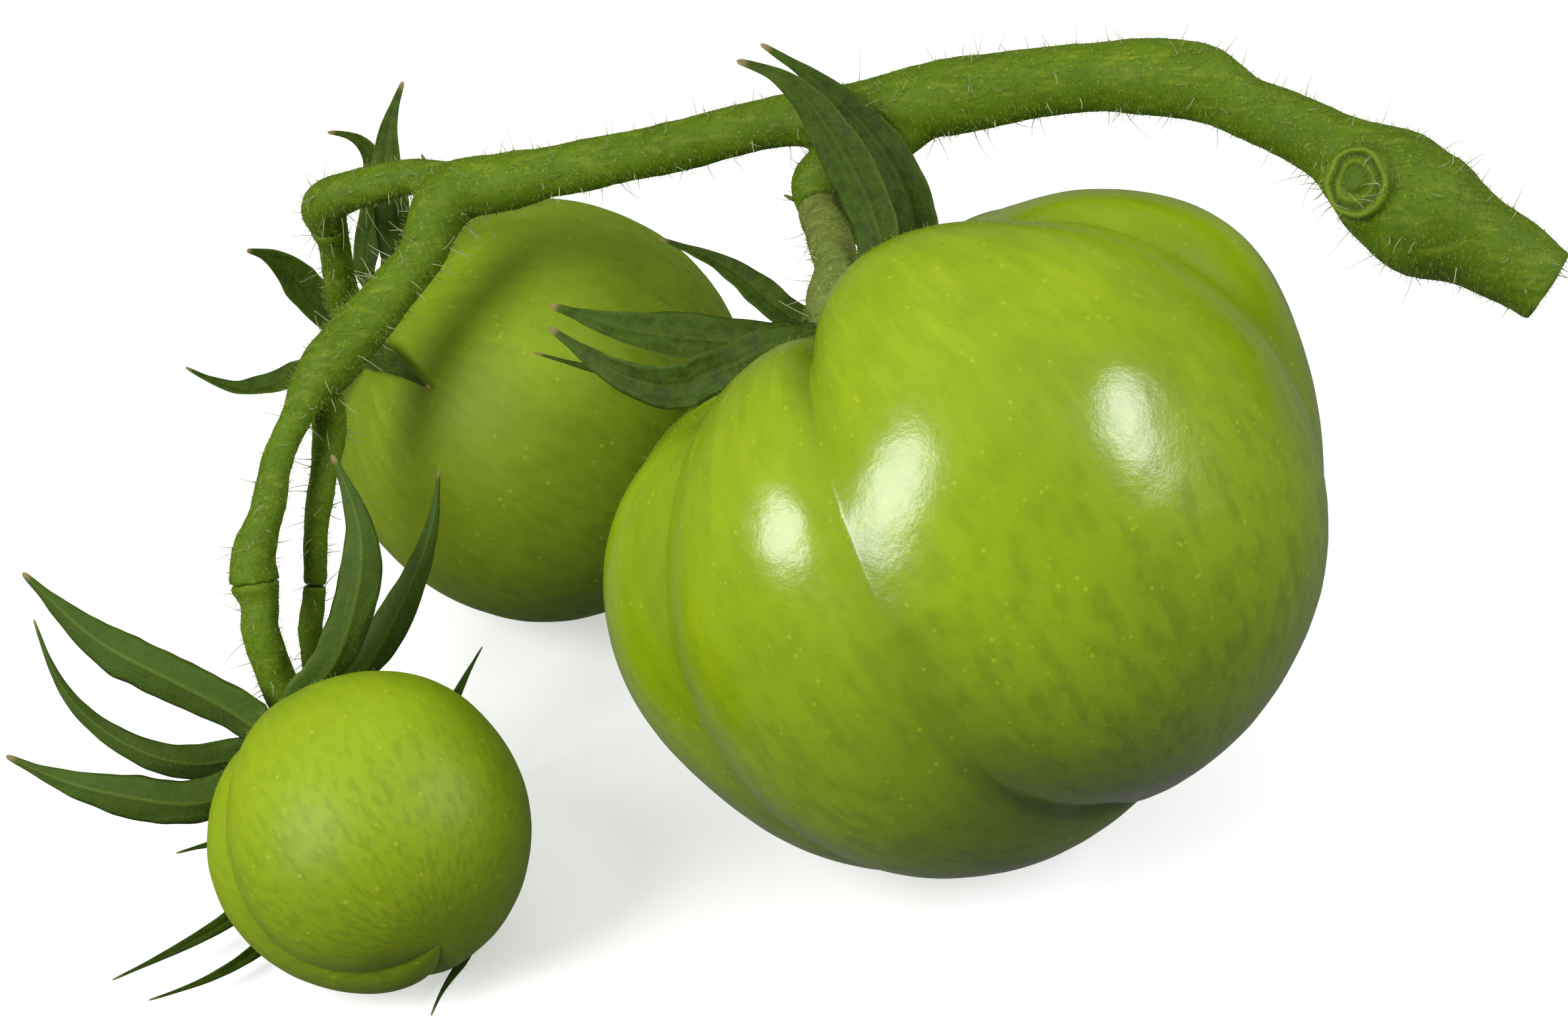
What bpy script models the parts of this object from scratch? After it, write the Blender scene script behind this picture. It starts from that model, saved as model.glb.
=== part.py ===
"""A cut truss of three green tomatoes lying on a table: fruits, stalks and calyx leaves as separate solids."""

import math

import bmesh
import bpy
from mathutils import Matrix, Vector

MM = 0.001

# How the truss lies. Its own plane leans back from upright, and directions on the truss are read in that plane:
# "turn" is the angle from the right hand side, "lift" the angle out of the plane towards the front.
LEAN = math.radians(40)
TRUSS_AXES = Matrix.Rotation(math.radians(90) - LEAN, 3, "X")

GAP = 0.3 * MM  # between neighbouring pieces
FLAT_DEPTH = 0.35 * MM  # how much each fruit flattens where it rests

# The fruits.
LARGE_RADIUS = 38.6 * MM
LARGE_HALF_HEIGHT = 34 * MM
MIDDLE_RADIUS = 23.4 * MM
MIDDLE_HALF_HEIGHT = 22.5 * MM
SMALL_RADIUS = 17 * MM
SMALL_HALF_HEIGHT = 16.4 * MM
MIDDLE_GAP = 1.5 * MM  # between the large and the middle fruit
SMALL_SPACE = 14.2 * MM  # between the large and the small fruit

# The stalks: factors on the radii below let all of them grow thicker or thinner together.
STALK_THICKNESS = 1.0
STALK_SIDES = 10
RING_SPACING = 3.2 * MM
LARGE_RECEPTACLE = 3.4 * MM
MIDDLE_RECEPTACLE = 2.8 * MM
SMALL_RECEPTACLE = 2.7 * MM
SPENT_RECEPTACLE = 1.1 * MM
SCAR_RADIUS = 3.9 * MM
SCAR_HEIGHT = 1.2 * MM
SCAR_SEAT = 0.9  # share of the stalk's radius from which the scar rises
SCAR_SUNK = 0.3  # share of the stalk's radius at which it starts, inside the stalk
SCAR_FLARE = 1.15  # how much wider it is there
OVARY_RADIUS = 1.7 * MM

# The calyx leaves.
LEAF_THICKNESS = 0.8 * MM
LEAF_WIDTH = 1.0
LEAF_ROOT = 1.6 * MM  # how far a leaf runs straight out from its root
LEAF_RINGS = 22
LEAF_SMOOTHING = 8
LEAF_TWIST_SHARE = 0.5  # how much of its length a leaf takes to turn its face
LEAF_WIDEST = 0.4  # share of its length at which a leaf is widest
LEAF_TAPER = 1.6  # how full a leaf stays towards its tip
LEAF_TIP = 0.06  # width at the tip, as a share of the full width
LEAF_CUP = 0.25  # how far the edges stand up, as a share of the half width
LEAF_TURN = 0.7  # where a leaf turns sideways, its half width stays under this share of the turn's radius


def truss_vector(right, up, front):
    """World vector for millimetres in the plane of the truss."""
    return TRUSS_AXES @ Vector((right, up, front)) * MM


def truss_direction(turn, lift):
    """Unit vector in the world for a direction given in the plane of the truss, in degrees."""
    a, b = math.radians(turn), math.radians(lift)
    return TRUSS_AXES @ Vector((math.cos(a) * math.cos(b), math.sin(a) * math.cos(b), math.sin(b)))


def bell(x, middle, width):
    return math.exp(-(((x - middle) / width) ** 2))


def smooth_step(x):
    x = min(max(x, 0.0), 1.0)
    return x * x * (3 - 2 * x)


class Fruit:
    """A squarish ellipsoid about its stem axis, dimpled at both ends and creased into lobes.

    Azimuths run round the stem axis, 0 towards the front and positive to the right. Each lobe gives the azimuth
    of the crease where it starts, how deep that crease is, and how far the lobe stands out at its shoulder and
    at its belly. The splay spreads the front creases apart towards the blossom end.
    """

    SHOULDER = math.radians(30)
    SHOULDER_SPREAD = math.radians(18)
    BELLY = math.radians(80)
    BELLY_SPREAD = math.radians(22)

    def __init__(self, radius, half_height, squareness, stem_dimple, blossom_dimple, axis, splay, waist, lobes,
                 rings, steps):
        self.radius = radius
        self.half_height = half_height
        self.squareness = squareness
        self.stem_dimple, self.stem_dimple_width = stem_dimple[0], math.radians(stem_dimple[1])
        self.blossom_dimple, self.blossom_dimple_width = blossom_dimple[0], math.radians(blossom_dimple[1])
        self.splay = math.radians(splay)
        self.waist = waist
        self.lobes = [(math.radians(lobe[0]), lobe[1] * MM, lobe[2] * MM, lobe[3] * MM) for lobe in lobes]
        self.rings = rings
        self.steps = steps
        self.axis = truss_direction(*axis)
        front = TRUSS_AXES @ Vector((0, 0, 1))
        front = (front - front.project(self.axis)).normalized()
        self.axes = Matrix((front, self.axis.cross(front), self.axis)).transposed()
        lowest = min(self.skin_offsets(), key=lambda offset: offset.z)
        self.foot = Vector((lowest.x, lowest.y, lowest.z + FLAT_DEPTH))
        self.centre = -self.foot

    def lobe_at(self, azimuth):
        """The lobe that holds an azimuth, the one after it, and how far across it that is, 0 to 1."""
        for index, lobe in enumerate(self.lobes):
            following = self.lobes[(index + 1) % len(self.lobes)]
            span = (following[0] - lobe[0]) % math.tau or math.tau
            across = (azimuth - lobe[0]) % math.tau / span
            if across < 1:
                return lobe, following, across
        return self.lobes[0], self.lobes[1], 0.0

    def lobed_reach(self, polar, azimuth):
        """Distance from the centre to the skin, at an azimuth before the splay."""
        s, c = abs(math.sin(polar)), math.cos(polar)
        power = self.squareness
        reach = ((s / self.radius) ** power + (abs(c) / self.half_height) ** power) ** (-1 / power)
        reach -= self.stem_dimple * bell(polar, 0, self.stem_dimple_width)
        reach -= self.blossom_dimple * bell(polar, math.pi, self.blossom_dimple_width)
        lobe, following, across = self.lobe_at(azimuth)
        crest = (4 * across * (1 - across)) ** 0.7
        crease = lobe[1] + (following[1] - lobe[1]) * across
        deepening = self.waist + (1 - self.waist) * abs(c)
        relief = lobe[2] * bell(polar, self.SHOULDER, self.SHOULDER_SPREAD)
        relief += lobe[3] * bell(polar, self.BELLY, self.BELLY_SPREAD)
        return reach + relief * crest - crease * (1 - crest) * deepening * min(1, 2.5 * s)

    def reach_at(self, polar, azimuth):
        """Distance from the centre to the skin, polar counted from the stem end."""
        before = azimuth
        for _ in range(5):
            before = azimuth + self.splay * math.sin(before) * math.cos(polar)
        return self.lobed_reach(polar, before)

    def reach(self, direction):
        """Distance from the centre to the skin in a world direction."""
        local = self.axes.transposed() @ direction.normalized()
        return self.reach_at(math.acos(max(-1, min(1, local.z))), math.atan2(local.y, local.x))

    def clustered(self, azimuth):
        """Moves evenly spaced azimuths so that each lobe has equal steps, closest together at its creases."""
        share = azimuth % math.tau / math.tau * len(self.lobes)
        index = round(share * self.steps) // self.steps
        start = self.lobes[index % len(self.lobes)][0]
        span = (self.lobes[(index + 1) % len(self.lobes)][0] - start) % math.tau or math.tau
        return start + span * (1 - math.cos(math.pi * (share - index))) / 2

    def skin_offset(self, unit):
        """Offset from the centre of the skin point that stands for a point of an even unit sphere."""
        polar = math.acos(max(-1, min(1, unit.z)))
        before = self.clustered(math.atan2(unit.y, unit.x))
        azimuth = before - self.splay * math.sin(before) * math.cos(polar)
        way = Vector((math.sin(polar) * math.cos(azimuth), math.sin(polar) * math.sin(azimuth), math.cos(polar)))
        return self.axes @ way * self.lobed_reach(polar, before)

    def unit_sphere(self):
        bm = bmesh.new()
        bmesh.ops.create_uvsphere(bm, u_segments=self.steps * len(self.lobes), v_segments=self.rings, radius=1)
        return bm

    def skin_offsets(self):
        sphere = self.unit_sphere()
        offsets = [self.skin_offset(vertex.co.normalized()) for vertex in sphere.verts]
        sphere.free()
        return offsets

    def lie_beside(self, other, bearing, gap):
        """Rests on the table in a direction from another fruit, so that their skins stay so far apart."""
        heading = Vector((math.cos(math.radians(bearing)), math.sin(math.radians(bearing)), 0))
        rise = Vector((0, 0, self.centre.z - other.centre.z))
        along = self.radius + other.radius
        for _ in range(8):
            towards = (heading * along + rise).normalized()
            apart = self.reach(-towards) + other.reach(towards) + gap
            along = math.sqrt(apart**2 - rise.z**2)
        self.centre = other.centre + heading * along + rise

    def around(self, turn, lift, height):
        """A point in a direction from the centre, so many millimetres further out than the radius."""
        return self.centre + truss_direction(turn, lift) * (self.radius + height * MM)

    def seat(self, radius):
        """Height along the axis at which a disc of this radius just clears the stem end."""
        highest = 0.0
        for azimuth in range(0, 360, 15):
            polar = 0.0
            while self.reach_at(polar, math.radians(azimuth)) * math.sin(polar) < radius:
                highest = max(highest, self.reach_at(polar, math.radians(azimuth)) * math.cos(polar))
                polar += math.radians(1)
            highest = max(highest, self.reach_at(polar, math.radians(azimuth)) * math.cos(polar))
        return highest + GAP

    def push_clear(self, points, margin):
        """How far a group of points has to move away from the centre to clear the skin."""
        middle = sum(points, Vector()) / len(points) - self.centre
        shortfall = max(self.reach(point - self.centre) + margin - (point - self.centre).length for point in points)
        return middle.normalized() * max(0, shortfall)

    def build(self, name, material):
        """The solid, cut flat where it rests."""
        bm = self.unit_sphere()
        for vertex in bm.verts:
            vertex.co = self.centre + self.skin_offset(vertex.co.normalized())
        everything = bm.verts[:] + bm.edges[:] + bm.faces[:]
        cut = bmesh.ops.bisect_plane(bm, geom=everything, plane_co=(0, 0, 0), plane_no=(0, 0, -1), clear_outer=True)
        rim = [edge for edge in cut["geom_cut"] if isinstance(edge, bmesh.types.BMEdge)]
        bmesh.ops.contextual_create(bm, geom=rim)
        return add_object(name, bm, material)


class Stalk:
    """A smooth round stalk through stations of (point, radius), from one end to the other."""

    def __init__(self, stations):
        self.points = [Vector(point) for point, _ in stations]
        self.radii = [radius for _, radius in stations]
        self.marks = [0.0]
        for before, after in zip(self.points, self.points[1:]):
            self.marks.append(self.marks[-1] + (after - before).length)

    def slope(self, index):
        before, after = max(index - 1, 0), min(index + 1, len(self.points) - 1)
        return (self.points[after] - self.points[before]) / (self.marks[after] - self.marks[before])

    def at(self, mark):
        """Position, direction and radius at a distance along the stations."""
        index = max(i for i, start in enumerate(self.marks[:-1]) if start <= mark or i == 0)
        span = self.marks[index + 1] - self.marks[index]
        t = (mark - self.marks[index]) / span
        start, end = self.points[index], self.points[index + 1]
        leave, arrive = self.slope(index) * span, self.slope(index + 1) * span
        place = (start * (2 * t**3 - 3 * t**2 + 1) + leave * (t**3 - 2 * t**2 + t)
                 + end * (3 * t**2 - 2 * t**3) + arrive * (t**3 - t**2))
        direction = (start * (6 * t**2 - 6 * t) + leave * (3 * t**2 - 4 * t + 1)
                     + end * (6 * t - 6 * t**2) + arrive * (3 * t**2 - 2 * t))
        radius = self.radii[index] + (self.radii[index + 1] - self.radii[index]) * smooth_step(t)
        return place, direction.normalized(), radius * STALK_THICKNESS

    def tube(self, first=None, last=None, spacing=RING_SPACING, sides=STALK_SIDES):
        """A closed tube between two marks."""
        first = 0.0 if first is None else first
        last = self.marks[-1] if last is None else last
        count = max(2, math.ceil((last - first) / spacing))
        bm = bmesh.new()
        across = None
        rings = []
        for step in range(count + 1):
            place, direction, radius = self.at(first + (last - first) * step / count)
            across = direction.orthogonal() if across is None else across - across.project(direction)
            across.normalize()
            other = direction.cross(across)
            ring = []
            for side in range(sides):
                angle = math.tau * side / sides
                ring.append(bm.verts.new(place + (across * math.cos(angle) + other * math.sin(angle)) * radius))
            rings.append(ring)
        for lower, upper in zip(rings, rings[1:]):
            for side in range(sides):
                after = (side + 1) % sides
                bm.faces.new((lower[side], lower[after], upper[after], upper[side]))
        bm.faces.new(list(reversed(rings[0])))
        bm.faces.new(rings[-1])
        return bm


def leaf_line(fruit, spine, margin):
    """Evenly spaced points along a leaf, smoothed and clear of the fruit. The first two stay, so the root is square."""
    marks = [spine.marks[-1] * ring / (LEAF_RINGS - 1) for ring in range(LEAF_RINGS)]
    points = [spine.at(mark)[0] for mark in marks]
    for _ in range(LEAF_SMOOTHING):
        inner = [(points[i - 1] + points[i] * 2 + points[i + 1]) / 4 for i in range(2, LEAF_RINGS - 1)]
        inner = [point + fruit.push_clear([point], margin) for point in inner]
        points = points[:2] + inner + points[-1:]
    return points


def leaf_frames(points, axis, face):
    """Direction and normal at each point of a leaf, the normal turning smoothly from the calyx axis to the face."""
    last = len(points) - 1
    directions = [(points[min(i + 1, last)] - points[max(i - 1, 0)]).normalized() for i in range(last + 1)]
    directions[0] = (points[1] - points[0]).normalized()
    normals = [axis.lerp(face, smooth_step(i / last / LEAF_TWIST_SHARE)) for i in range(last + 1)]
    for _ in range(LEAF_SMOOTHING):
        normals = [(normals[max(i - 1, 0)] + normals[i] + normals[min(i + 1, last)]) / 3 for i in range(last + 1)]
        normals[0] = axis
        normals = [(normal - normal.project(way)).normalized() for normal, way in zip(normals, directions)]
    return list(zip(points, directions, normals))


def calyx_leaf(name, fruit, calyx, root, width, face, way, material):
    """A lance-shaped calyx leaf: from a root on the ring round the calyx, through its way points, to its tip.

    The way points are (right, up, front) millimetres from the calyx, and face is the side that the leaf shows.
    """
    root_azimuth = math.radians(root)
    outward = calyx["axes"] @ Vector((math.cos(root_azimuth), math.sin(root_azimuth), 0))
    root_radius = calyx["ring_radius"] + GAP
    start = calyx["centre"] + outward * root_radius + calyx["axis"] * LEAF_THICKNESS
    stations = [start, start + outward * LEAF_ROOT]
    stations += [calyx["centre"] + truss_vector(*point) for point in way]
    spine = Stalk([(point, 0) for point in stations])
    points = leaf_line(fruit, spine, LEAF_THICKNESS + GAP)
    frames = leaf_frames(points, calyx["axis"], (TRUSS_AXES @ Vector(face)).normalized())
    root_half_width = root_radius * math.tan(math.pi / calyx["leaves"]) - GAP / 2
    full_half_width = width / 2 * MM * LEAF_WIDTH
    bm = bmesh.new()
    rings = []
    for ring, (place, direction, normal) in enumerate(frames):
        share = ring / (LEAF_RINGS - 1)
        across = direction.cross(normal)
        swell = math.sin(math.pi / 2 * min(1, share / LEAF_WIDEST))
        swell *= 1 - max(0, (share - LEAF_WIDEST) / (1 - LEAF_WIDEST)) ** LEAF_TAPER
        half_width = root_half_width * (1 - share) ** 2 + full_half_width * max(swell, LEAF_TIP * share)
        half_width = min(half_width, max(root_half_width, full_half_width))
        if 0 < ring < LEAF_RINGS - 1:
            before, after = frames[ring - 1], frames[ring + 1]
            turn = abs((after[1] - before[1]).dot(across)) / (after[0] - before[0]).length
            half_width = min(half_width, LEAF_TURN / max(turn, 1))
        half_thick = LEAF_THICKNESS / 2 * (1 - 0.5 * share)
        cup = half_width * LEAF_CUP
        corners = [
            place - across * half_width + normal * cup,
            place - normal * half_thick,
            place + across * half_width + normal * cup,
            place + normal * half_thick,
        ]
        push = fruit.push_clear(corners, GAP)
        rings.append([bm.verts.new(corner + push) for corner in corners])
    for lower, upper in zip(rings, rings[1:]):
        for side in range(4):
            after = (side + 1) % 4
            bm.faces.new((lower[side], lower[after], upper[after], upper[side]))
    bm.faces.new(list(reversed(rings[0])))
    bm.faces.new(rings[-1])
    return add_object(name, bm, material)


def add_object(name, bm, material):
    bmesh.ops.recalc_face_normals(bm, faces=bm.faces)
    mesh = bpy.data.meshes.new(name)
    bm.to_mesh(mesh)
    bm.free()
    mesh.shade_smooth()
    mesh.set_sharp_from_angle(angle=math.radians(50))
    mesh.materials.append(material)
    piece = bpy.data.objects.new(name, mesh)
    bpy.context.scene.collection.objects.link(piece)
    return piece


def grow_onto(piece, name, bm):
    """Joins another solid to a piece with a Boolean union."""
    helper = add_object(name, bm, piece.data.materials[0])
    helper.hide_render = True
    helper.display_type = "WIRE"
    union = piece.modifiers.new(name, "BOOLEAN")
    union.operation = "UNION"
    union.object = helper


def make_material(name, colour, roughness):
    material = bpy.data.materials.new(name)
    material.use_nodes = True
    shader = material.node_tree.nodes["Principled BSDF"]
    shader.inputs["Base Color"].default_value = (*colour, 1)
    shader.inputs["Roughness"].default_value = roughness
    shader.inputs["Metallic"].default_value = 0
    return material


def calyx_of(fruit, receptacle, leaves):
    """Where a fruit's calyx sits: at the stem end, clear of the skin. Its leaves stand round the end of the stalk."""
    ring_radius = receptacle * STALK_THICKNESS
    centre = fruit.centre + fruit.axis * fruit.seat(ring_radius)
    return {"centre": centre, "axis": fruit.axis, "axes": fruit.axes, "ring_radius": ring_radius, "leaves": leaves}


for leftover in list(bpy.data.objects):
    bpy.data.objects.remove(leftover)

BRIGHT_SKIN = make_material("bright_tomato_skin", (0.33, 0.45, 0.02), 0.22)
DULL_SKIN = make_material("dull_tomato_skin", (0.26, 0.36, 0.02), 0.35)
GREEN_STALK = make_material("green_stalk", (0.10, 0.21, 0.03), 0.6)
GREEN_LEAF = make_material("calyx_leaf", (0.06, 0.16, 0.03), 0.6)

large = Fruit(
    radius=LARGE_RADIUS,
    half_height=LARGE_HALF_HEIGHT,
    squareness=2.35,
    stem_dimple=(10 * MM, 22),
    blossom_dimple=(0, 20),
    axis=(123, 6),
    splay=20,
    waist=0.35,
    lobes=(
        (-69, 3.0, -1, 0),
        (-21, 4.5, 2.5, 0),
        (80, 3.0, -3.5, 3.6),
        (122, 3.0, -3, 1),
        (164, 3.0, -4, 0),
        (208, 3.0, -4, 0),
        (250, 3.6, -4, 1.4),
    ),
    rings=24,
    steps=8,
)
middle = Fruit(
    radius=MIDDLE_RADIUS,
    half_height=MIDDLE_HALF_HEIGHT,
    squareness=2.15,
    stem_dimple=(2 * MM, 20),
    blossom_dimple=(0.5 * MM, 20),
    axis=(153, 18),
    splay=0,
    waist=0.35,
    lobes=((-120, 0, 0, 0), (0, 0, 0, 0), (120, 0, 0, 0)),
    rings=16,
    steps=9,
)
small = Fruit(
    radius=SMALL_RADIUS,
    half_height=SMALL_HALF_HEIGHT,
    squareness=2.15,
    stem_dimple=(1.5 * MM, 20),
    blossom_dimple=(0.4 * MM, 20),
    axis=(125, -31),
    splay=40,
    waist=1,
    lobes=((-63, 1.3, 0, 0), (40, 0, 0, 0), (130, 0, 0, 0), (-130, 0.8, 0, 0.6)),
    rings=14,
    steps=6,
)
middle.lie_beside(large, bearing=141, gap=MIDDLE_GAP)
small.lie_beside(large, bearing=200.5, gap=SMALL_SPACE)

large.build("large_tomato", BRIGHT_SKIN)
middle.build("middle_tomato", DULL_SKIN)
small.build("small_tomato", BRIGHT_SKIN)

large_calyx = calyx_of(large, LARGE_RECEPTACLE, 7)
middle_calyx = calyx_of(middle, MIDDLE_RECEPTACLE, 6)
small_calyx = calyx_of(small, SMALL_RECEPTACLE, 5)

# The main stalk, from its cut end over the large fruit to the knuckle above the small one.
main = Stalk([
    (large.around(23, 0, 27.8), 4.2 * MM),
    (large.around(29, 0, 23.7), 5.0 * MM),
    (large.around(35, 0, 20), 6.9 * MM),
    (large.around(39, 0, 19), 6.6 * MM),
    (large.around(48, -1, 17), 3.7 * MM),
    (large.around(57, -2, 15.2), 3.3 * MM),
    (large.around(64, -3, 14.8), 4.3 * MM),
    (large.around(76, -5, 11.5), 3.7 * MM),
    (large.around(93, -6, 8), 4.1 * MM),
    (large.around(107, -7, 8.2), 3.5 * MM),
    (large.around(115, -8, 10.3), 2.8 * MM),
    (large.around(129, -9, 14.8), 2.75 * MM),
    (middle.around(86, 49, 15), 2.8 * MM),
    (middle.around(97, 49, 13.7), 3.2 * MM),
    (middle.around(111, 48, 13.2), 3.4 * MM),
    (middle.around(126, 55, 11.9), 2.6 * MM),
    (middle.around(141, 57, 12.3), 2.7 * MM),
    (middle.around(156, 57, 13.6), 3.0 * MM),
    (middle.around(167, 56, 15.3), 3.2 * MM),
    (middle.around(177, 54, 17.2), 2.2 * MM),
    (small.around(101, -12, 28.5), 1.7 * MM),
    (small.around(105, -12, 24.3), 1.8 * MM),
    (small.around(109, -12, 19.1), 1.9 * MM),
    (small.around(114, -13, 15.6), 2.4 * MM),
    (small.around(116, -15, 13.2), 2.8 * MM),
    (small.around(117, -16, 11), 2.1 * MM),
    (small.around(120, -17, 8.5), 2.1 * MM),
    (small_calyx["centre"] + small.axis * 3.5 * MM, 2.2 * MM),
    (small_calyx["centre"], SMALL_RECEPTACLE),
])
SMALL_KNUCKLE = 24

truss_stem = add_object("truss_stem", main.tube(last=main.marks[SMALL_KNUCKLE] - GAP / 2), GREEN_STALK)
add_object("small_pedicel", main.tube(first=main.marks[SMALL_KNUCKLE] + GAP / 2), GREEN_STALK)

# The short branch that turns back down to the middle fruit.
middle_branch = Stalk([
    (middle.around(106, 48, 13.4), 2.4 * MM),
    (middle.around(117, 42, 14.2), 2.0 * MM),
    (middle.around(129, 37, 14.8), 2.1 * MM),
    (middle.around(135, 33, 14.6), 2.4 * MM),
    (middle.around(137, 30, 13.0), 2.6 * MM),
    (middle.around(138.5, 29, 11.2), 2.2 * MM),
    (middle.around(141, 27, 8.6), 1.8 * MM),
    (middle_calyx["centre"] + middle.axis * 4 * MM, 2.0 * MM),
    (middle_calyx["centre"], MIDDLE_RECEPTACLE),
])
MIDDLE_KNUCKLE = 5
grow_onto(truss_stem, "middle_branch_stub", middle_branch.tube(last=middle_branch.marks[MIDDLE_KNUCKLE] - GAP / 2))
add_object("middle_pedicel", middle_branch.tube(first=middle_branch.marks[MIDDLE_KNUCKLE] + GAP / 2), GREEN_STALK)

# The hooked branch to the large fruit.
large_branch = Stalk([
    (large.around(96, -6, 6.5), 2.6 * MM),
    (large.around(103, -7, 4.0), 2.7 * MM),
    (large.around(110, -9, 3.8), 2.8 * MM),
    (large.around(114, -10, 2.6), 2.9 * MM),
    (large.around(115, -9, 0.2), 2.6 * MM),
    (large.around(116, -4, -3.6), 2.5 * MM),
    (large.around(117.5, 1.5, -7.4), 2.4 * MM),
    (large_calyx["centre"] + large.axis * 2.5 * MM, 2.4 * MM),
    (large_calyx["centre"], LARGE_RECEPTACLE),
])
LARGE_KNUCKLE = 4
grow_onto(truss_stem, "large_branch_stub", large_branch.tube(last=large_branch.marks[LARGE_KNUCKLE] - GAP / 2))
add_object("large_pedicel", large_branch.tube(first=large_branch.marks[LARGE_KNUCKLE] + GAP / 2), GREEN_STALK)

# The thin branch to the spent flower, which hangs low behind the small fruit.
spent_branch = Stalk([
    (middle.around(173, 55, 15.6), 1.9 * MM),
    (small.around(97, -19, 28.8), 1.9 * MM),
    (small.around(99, -21, 23.5), 1.55 * MM),
    (small.around(102, -24, 18.5), 1.4 * MM),
    (small.around(105, -30, 13.9), 1.35 * MM),
    (small.around(110, -37, 10.4), 1.35 * MM),
    (small.around(116, -51, 6.8), 1.3 * MM),
    (small.around(117, -68, 4.6), 1.2 * MM),
    (small.around(115, -80, 3.2), SPENT_RECEPTACLE),
])
SPENT_KNUCKLE = 4
grow_onto(truss_stem, "spent_branch_stub", spent_branch.tube(last=spent_branch.marks[SPENT_KNUCKLE] - GAP / 2))
add_object("spent_flower_pedicel", spent_branch.tube(first=spent_branch.marks[SPENT_KNUCKLE] + GAP / 2), GREEN_STALK)

# The round scar where a leaf stood, on the front of the swelling.
scar_place, _, scar_stem = main.at((main.marks[3] + main.marks[4] * 0.25) / 1.25)
scar_axis = truss_direction(190, 62)
scar = Stalk([
    (scar_place + scar_axis * scar_stem * SCAR_SUNK, SCAR_RADIUS * SCAR_FLARE),
    (scar_place + scar_axis * (scar_stem * SCAR_SEAT + SCAR_HEIGHT), SCAR_RADIUS),
])
grow_onto(truss_stem, "leaf_scar", scar.tube(spacing=SCAR_HEIGHT))

# Leaves of each calyx: root azimuth in degrees, width, the side shown (right, up, front), and the way points.
LARGE_LEAVES = (
    (28, 5.8, (-1, 0.5, 2), ((5.2, 5.2, 2.2), (3.2, 13, 0.8), (-1, 20.5, 0.5), (-5.5, 26.5, 0.5), (-11, 28, 0))),
    (80, 5.8, (1, 0.5, 2), ((8.5, 7, -5), (7.3, 13.8, -4.3), (3.8, 20, -3), (-3, 26.5, -3), (-8.5, 30, -3))),
    (-23, 5.2, (0, -0.4, 2), ((-10, -3.2, 0.8), (-16, -7, -0.5), (-23, -5.5, -1.5), (-31, 0, -4.5))),
    (-75, 6.0, (0, 1, 2), ((-7, -1.8, -2.4), (-12.5, -1.6, -4.4), (-23, -0.3, -5.3), (-31, 2.4, -7.5))),
    (-126, 2.0, (0, 1, 2), ((-6, -3.5, -7.5), (-14, -5.5, -13), (-24, -5, -13.5), (-33, -2.5, -12.5))),
    (-178, 4.0, (0, 1, 2), ((-2, -1.2, -9.8), (-7.5, 3, -15.5), (-12, 7, -18.5), (-19.5, 10, -19.5))),
    (130, 3.5, (0, 1, 2), ((5.8, 1.8, -9), (5, 8, -16), (0, 12, -22), (-6, 15, -25))),
)
MIDDLE_LEAVES = (
    (140, 3.6, (0, 0, 1), ((-2, 6, -2), (-0.8, 11, -1), (0, 18, 2), (-2, 21.5, 3), (-5.5, 21.5, 4))),
    (20, 4.4, (0, 0, 1), ((2.5, 6, 4.5), (1.5, 14.5, 5), (1, 21, 6), (3, 27, 6))),
    (-160, 4.6, (0, 0, 1), ((-7, 3, -3), (-10.5, 7, -0.5), (-12.5, 8.3, 1.5), (-14.5, 8.5, 3))),
    (-100, 3.4, (0, 1, 1), ((-6, -3.5, 5), (-12, -7, 6), (-16, -7, 6), (-21, -4.5, 6))),
    (-40, 3.0, (0, 0, 1), ((2, -4, 12), (6.5, -7, 15))),
    (80, 3.0, (0, 0, 1), ((6.5, 5, -4), (7.5, 12, -5), (4.5, 19.5, -3))),
)
SMALL_LEAVES = (
    (-52, 5.4, (0, 0, -1), ((-5.5, 1, 2), (-10.5, 3.5, 3), (-16.5, 6.5, 4), (-21.5, 9, 4), (-29.5, 16.5, 4))),
    (170, 2.6, (0, 0, -1), ((-8, -3.5, -6), (-12.5, -4.7, -3), (-17.5, -3, -2), (-25.5, 2.5, -2), (-29, 11.5, -2))),
    (-124, 5.2, (0, 0, -1), ((-10, -8.5, 0), (-15, -8, 1), (-20.5, -7, 2), (-25, -6, 2), (-31.5, -3, 2))),
    (20, 5.0, (0, 0, -1), ((2, 4, 3), (5.5, 11.5, 6), (7, 18.5, 8), (6.5, 22.5, 8), (3.5, 29, 7))),
    (92, 2.8, (0, 0, -1), ((6.5, 6, -1), (10.5, 13, 0), (14, 21.5, 1), (14.5, 27.5, 1))),
)
for name, fruit, calyx, leaves in (
    ("large", large, large_calyx, LARGE_LEAVES),
    ("middle", middle, middle_calyx, MIDDLE_LEAVES),
    ("small", small, small_calyx, SMALL_LEAVES),
):
    for number, (root, width, face, way) in enumerate(leaves, 1):
        calyx_leaf(f"{name}_calyx_leaf_{number}", fruit, calyx, root, width, face, way, GREEN_LEAF)

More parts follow.
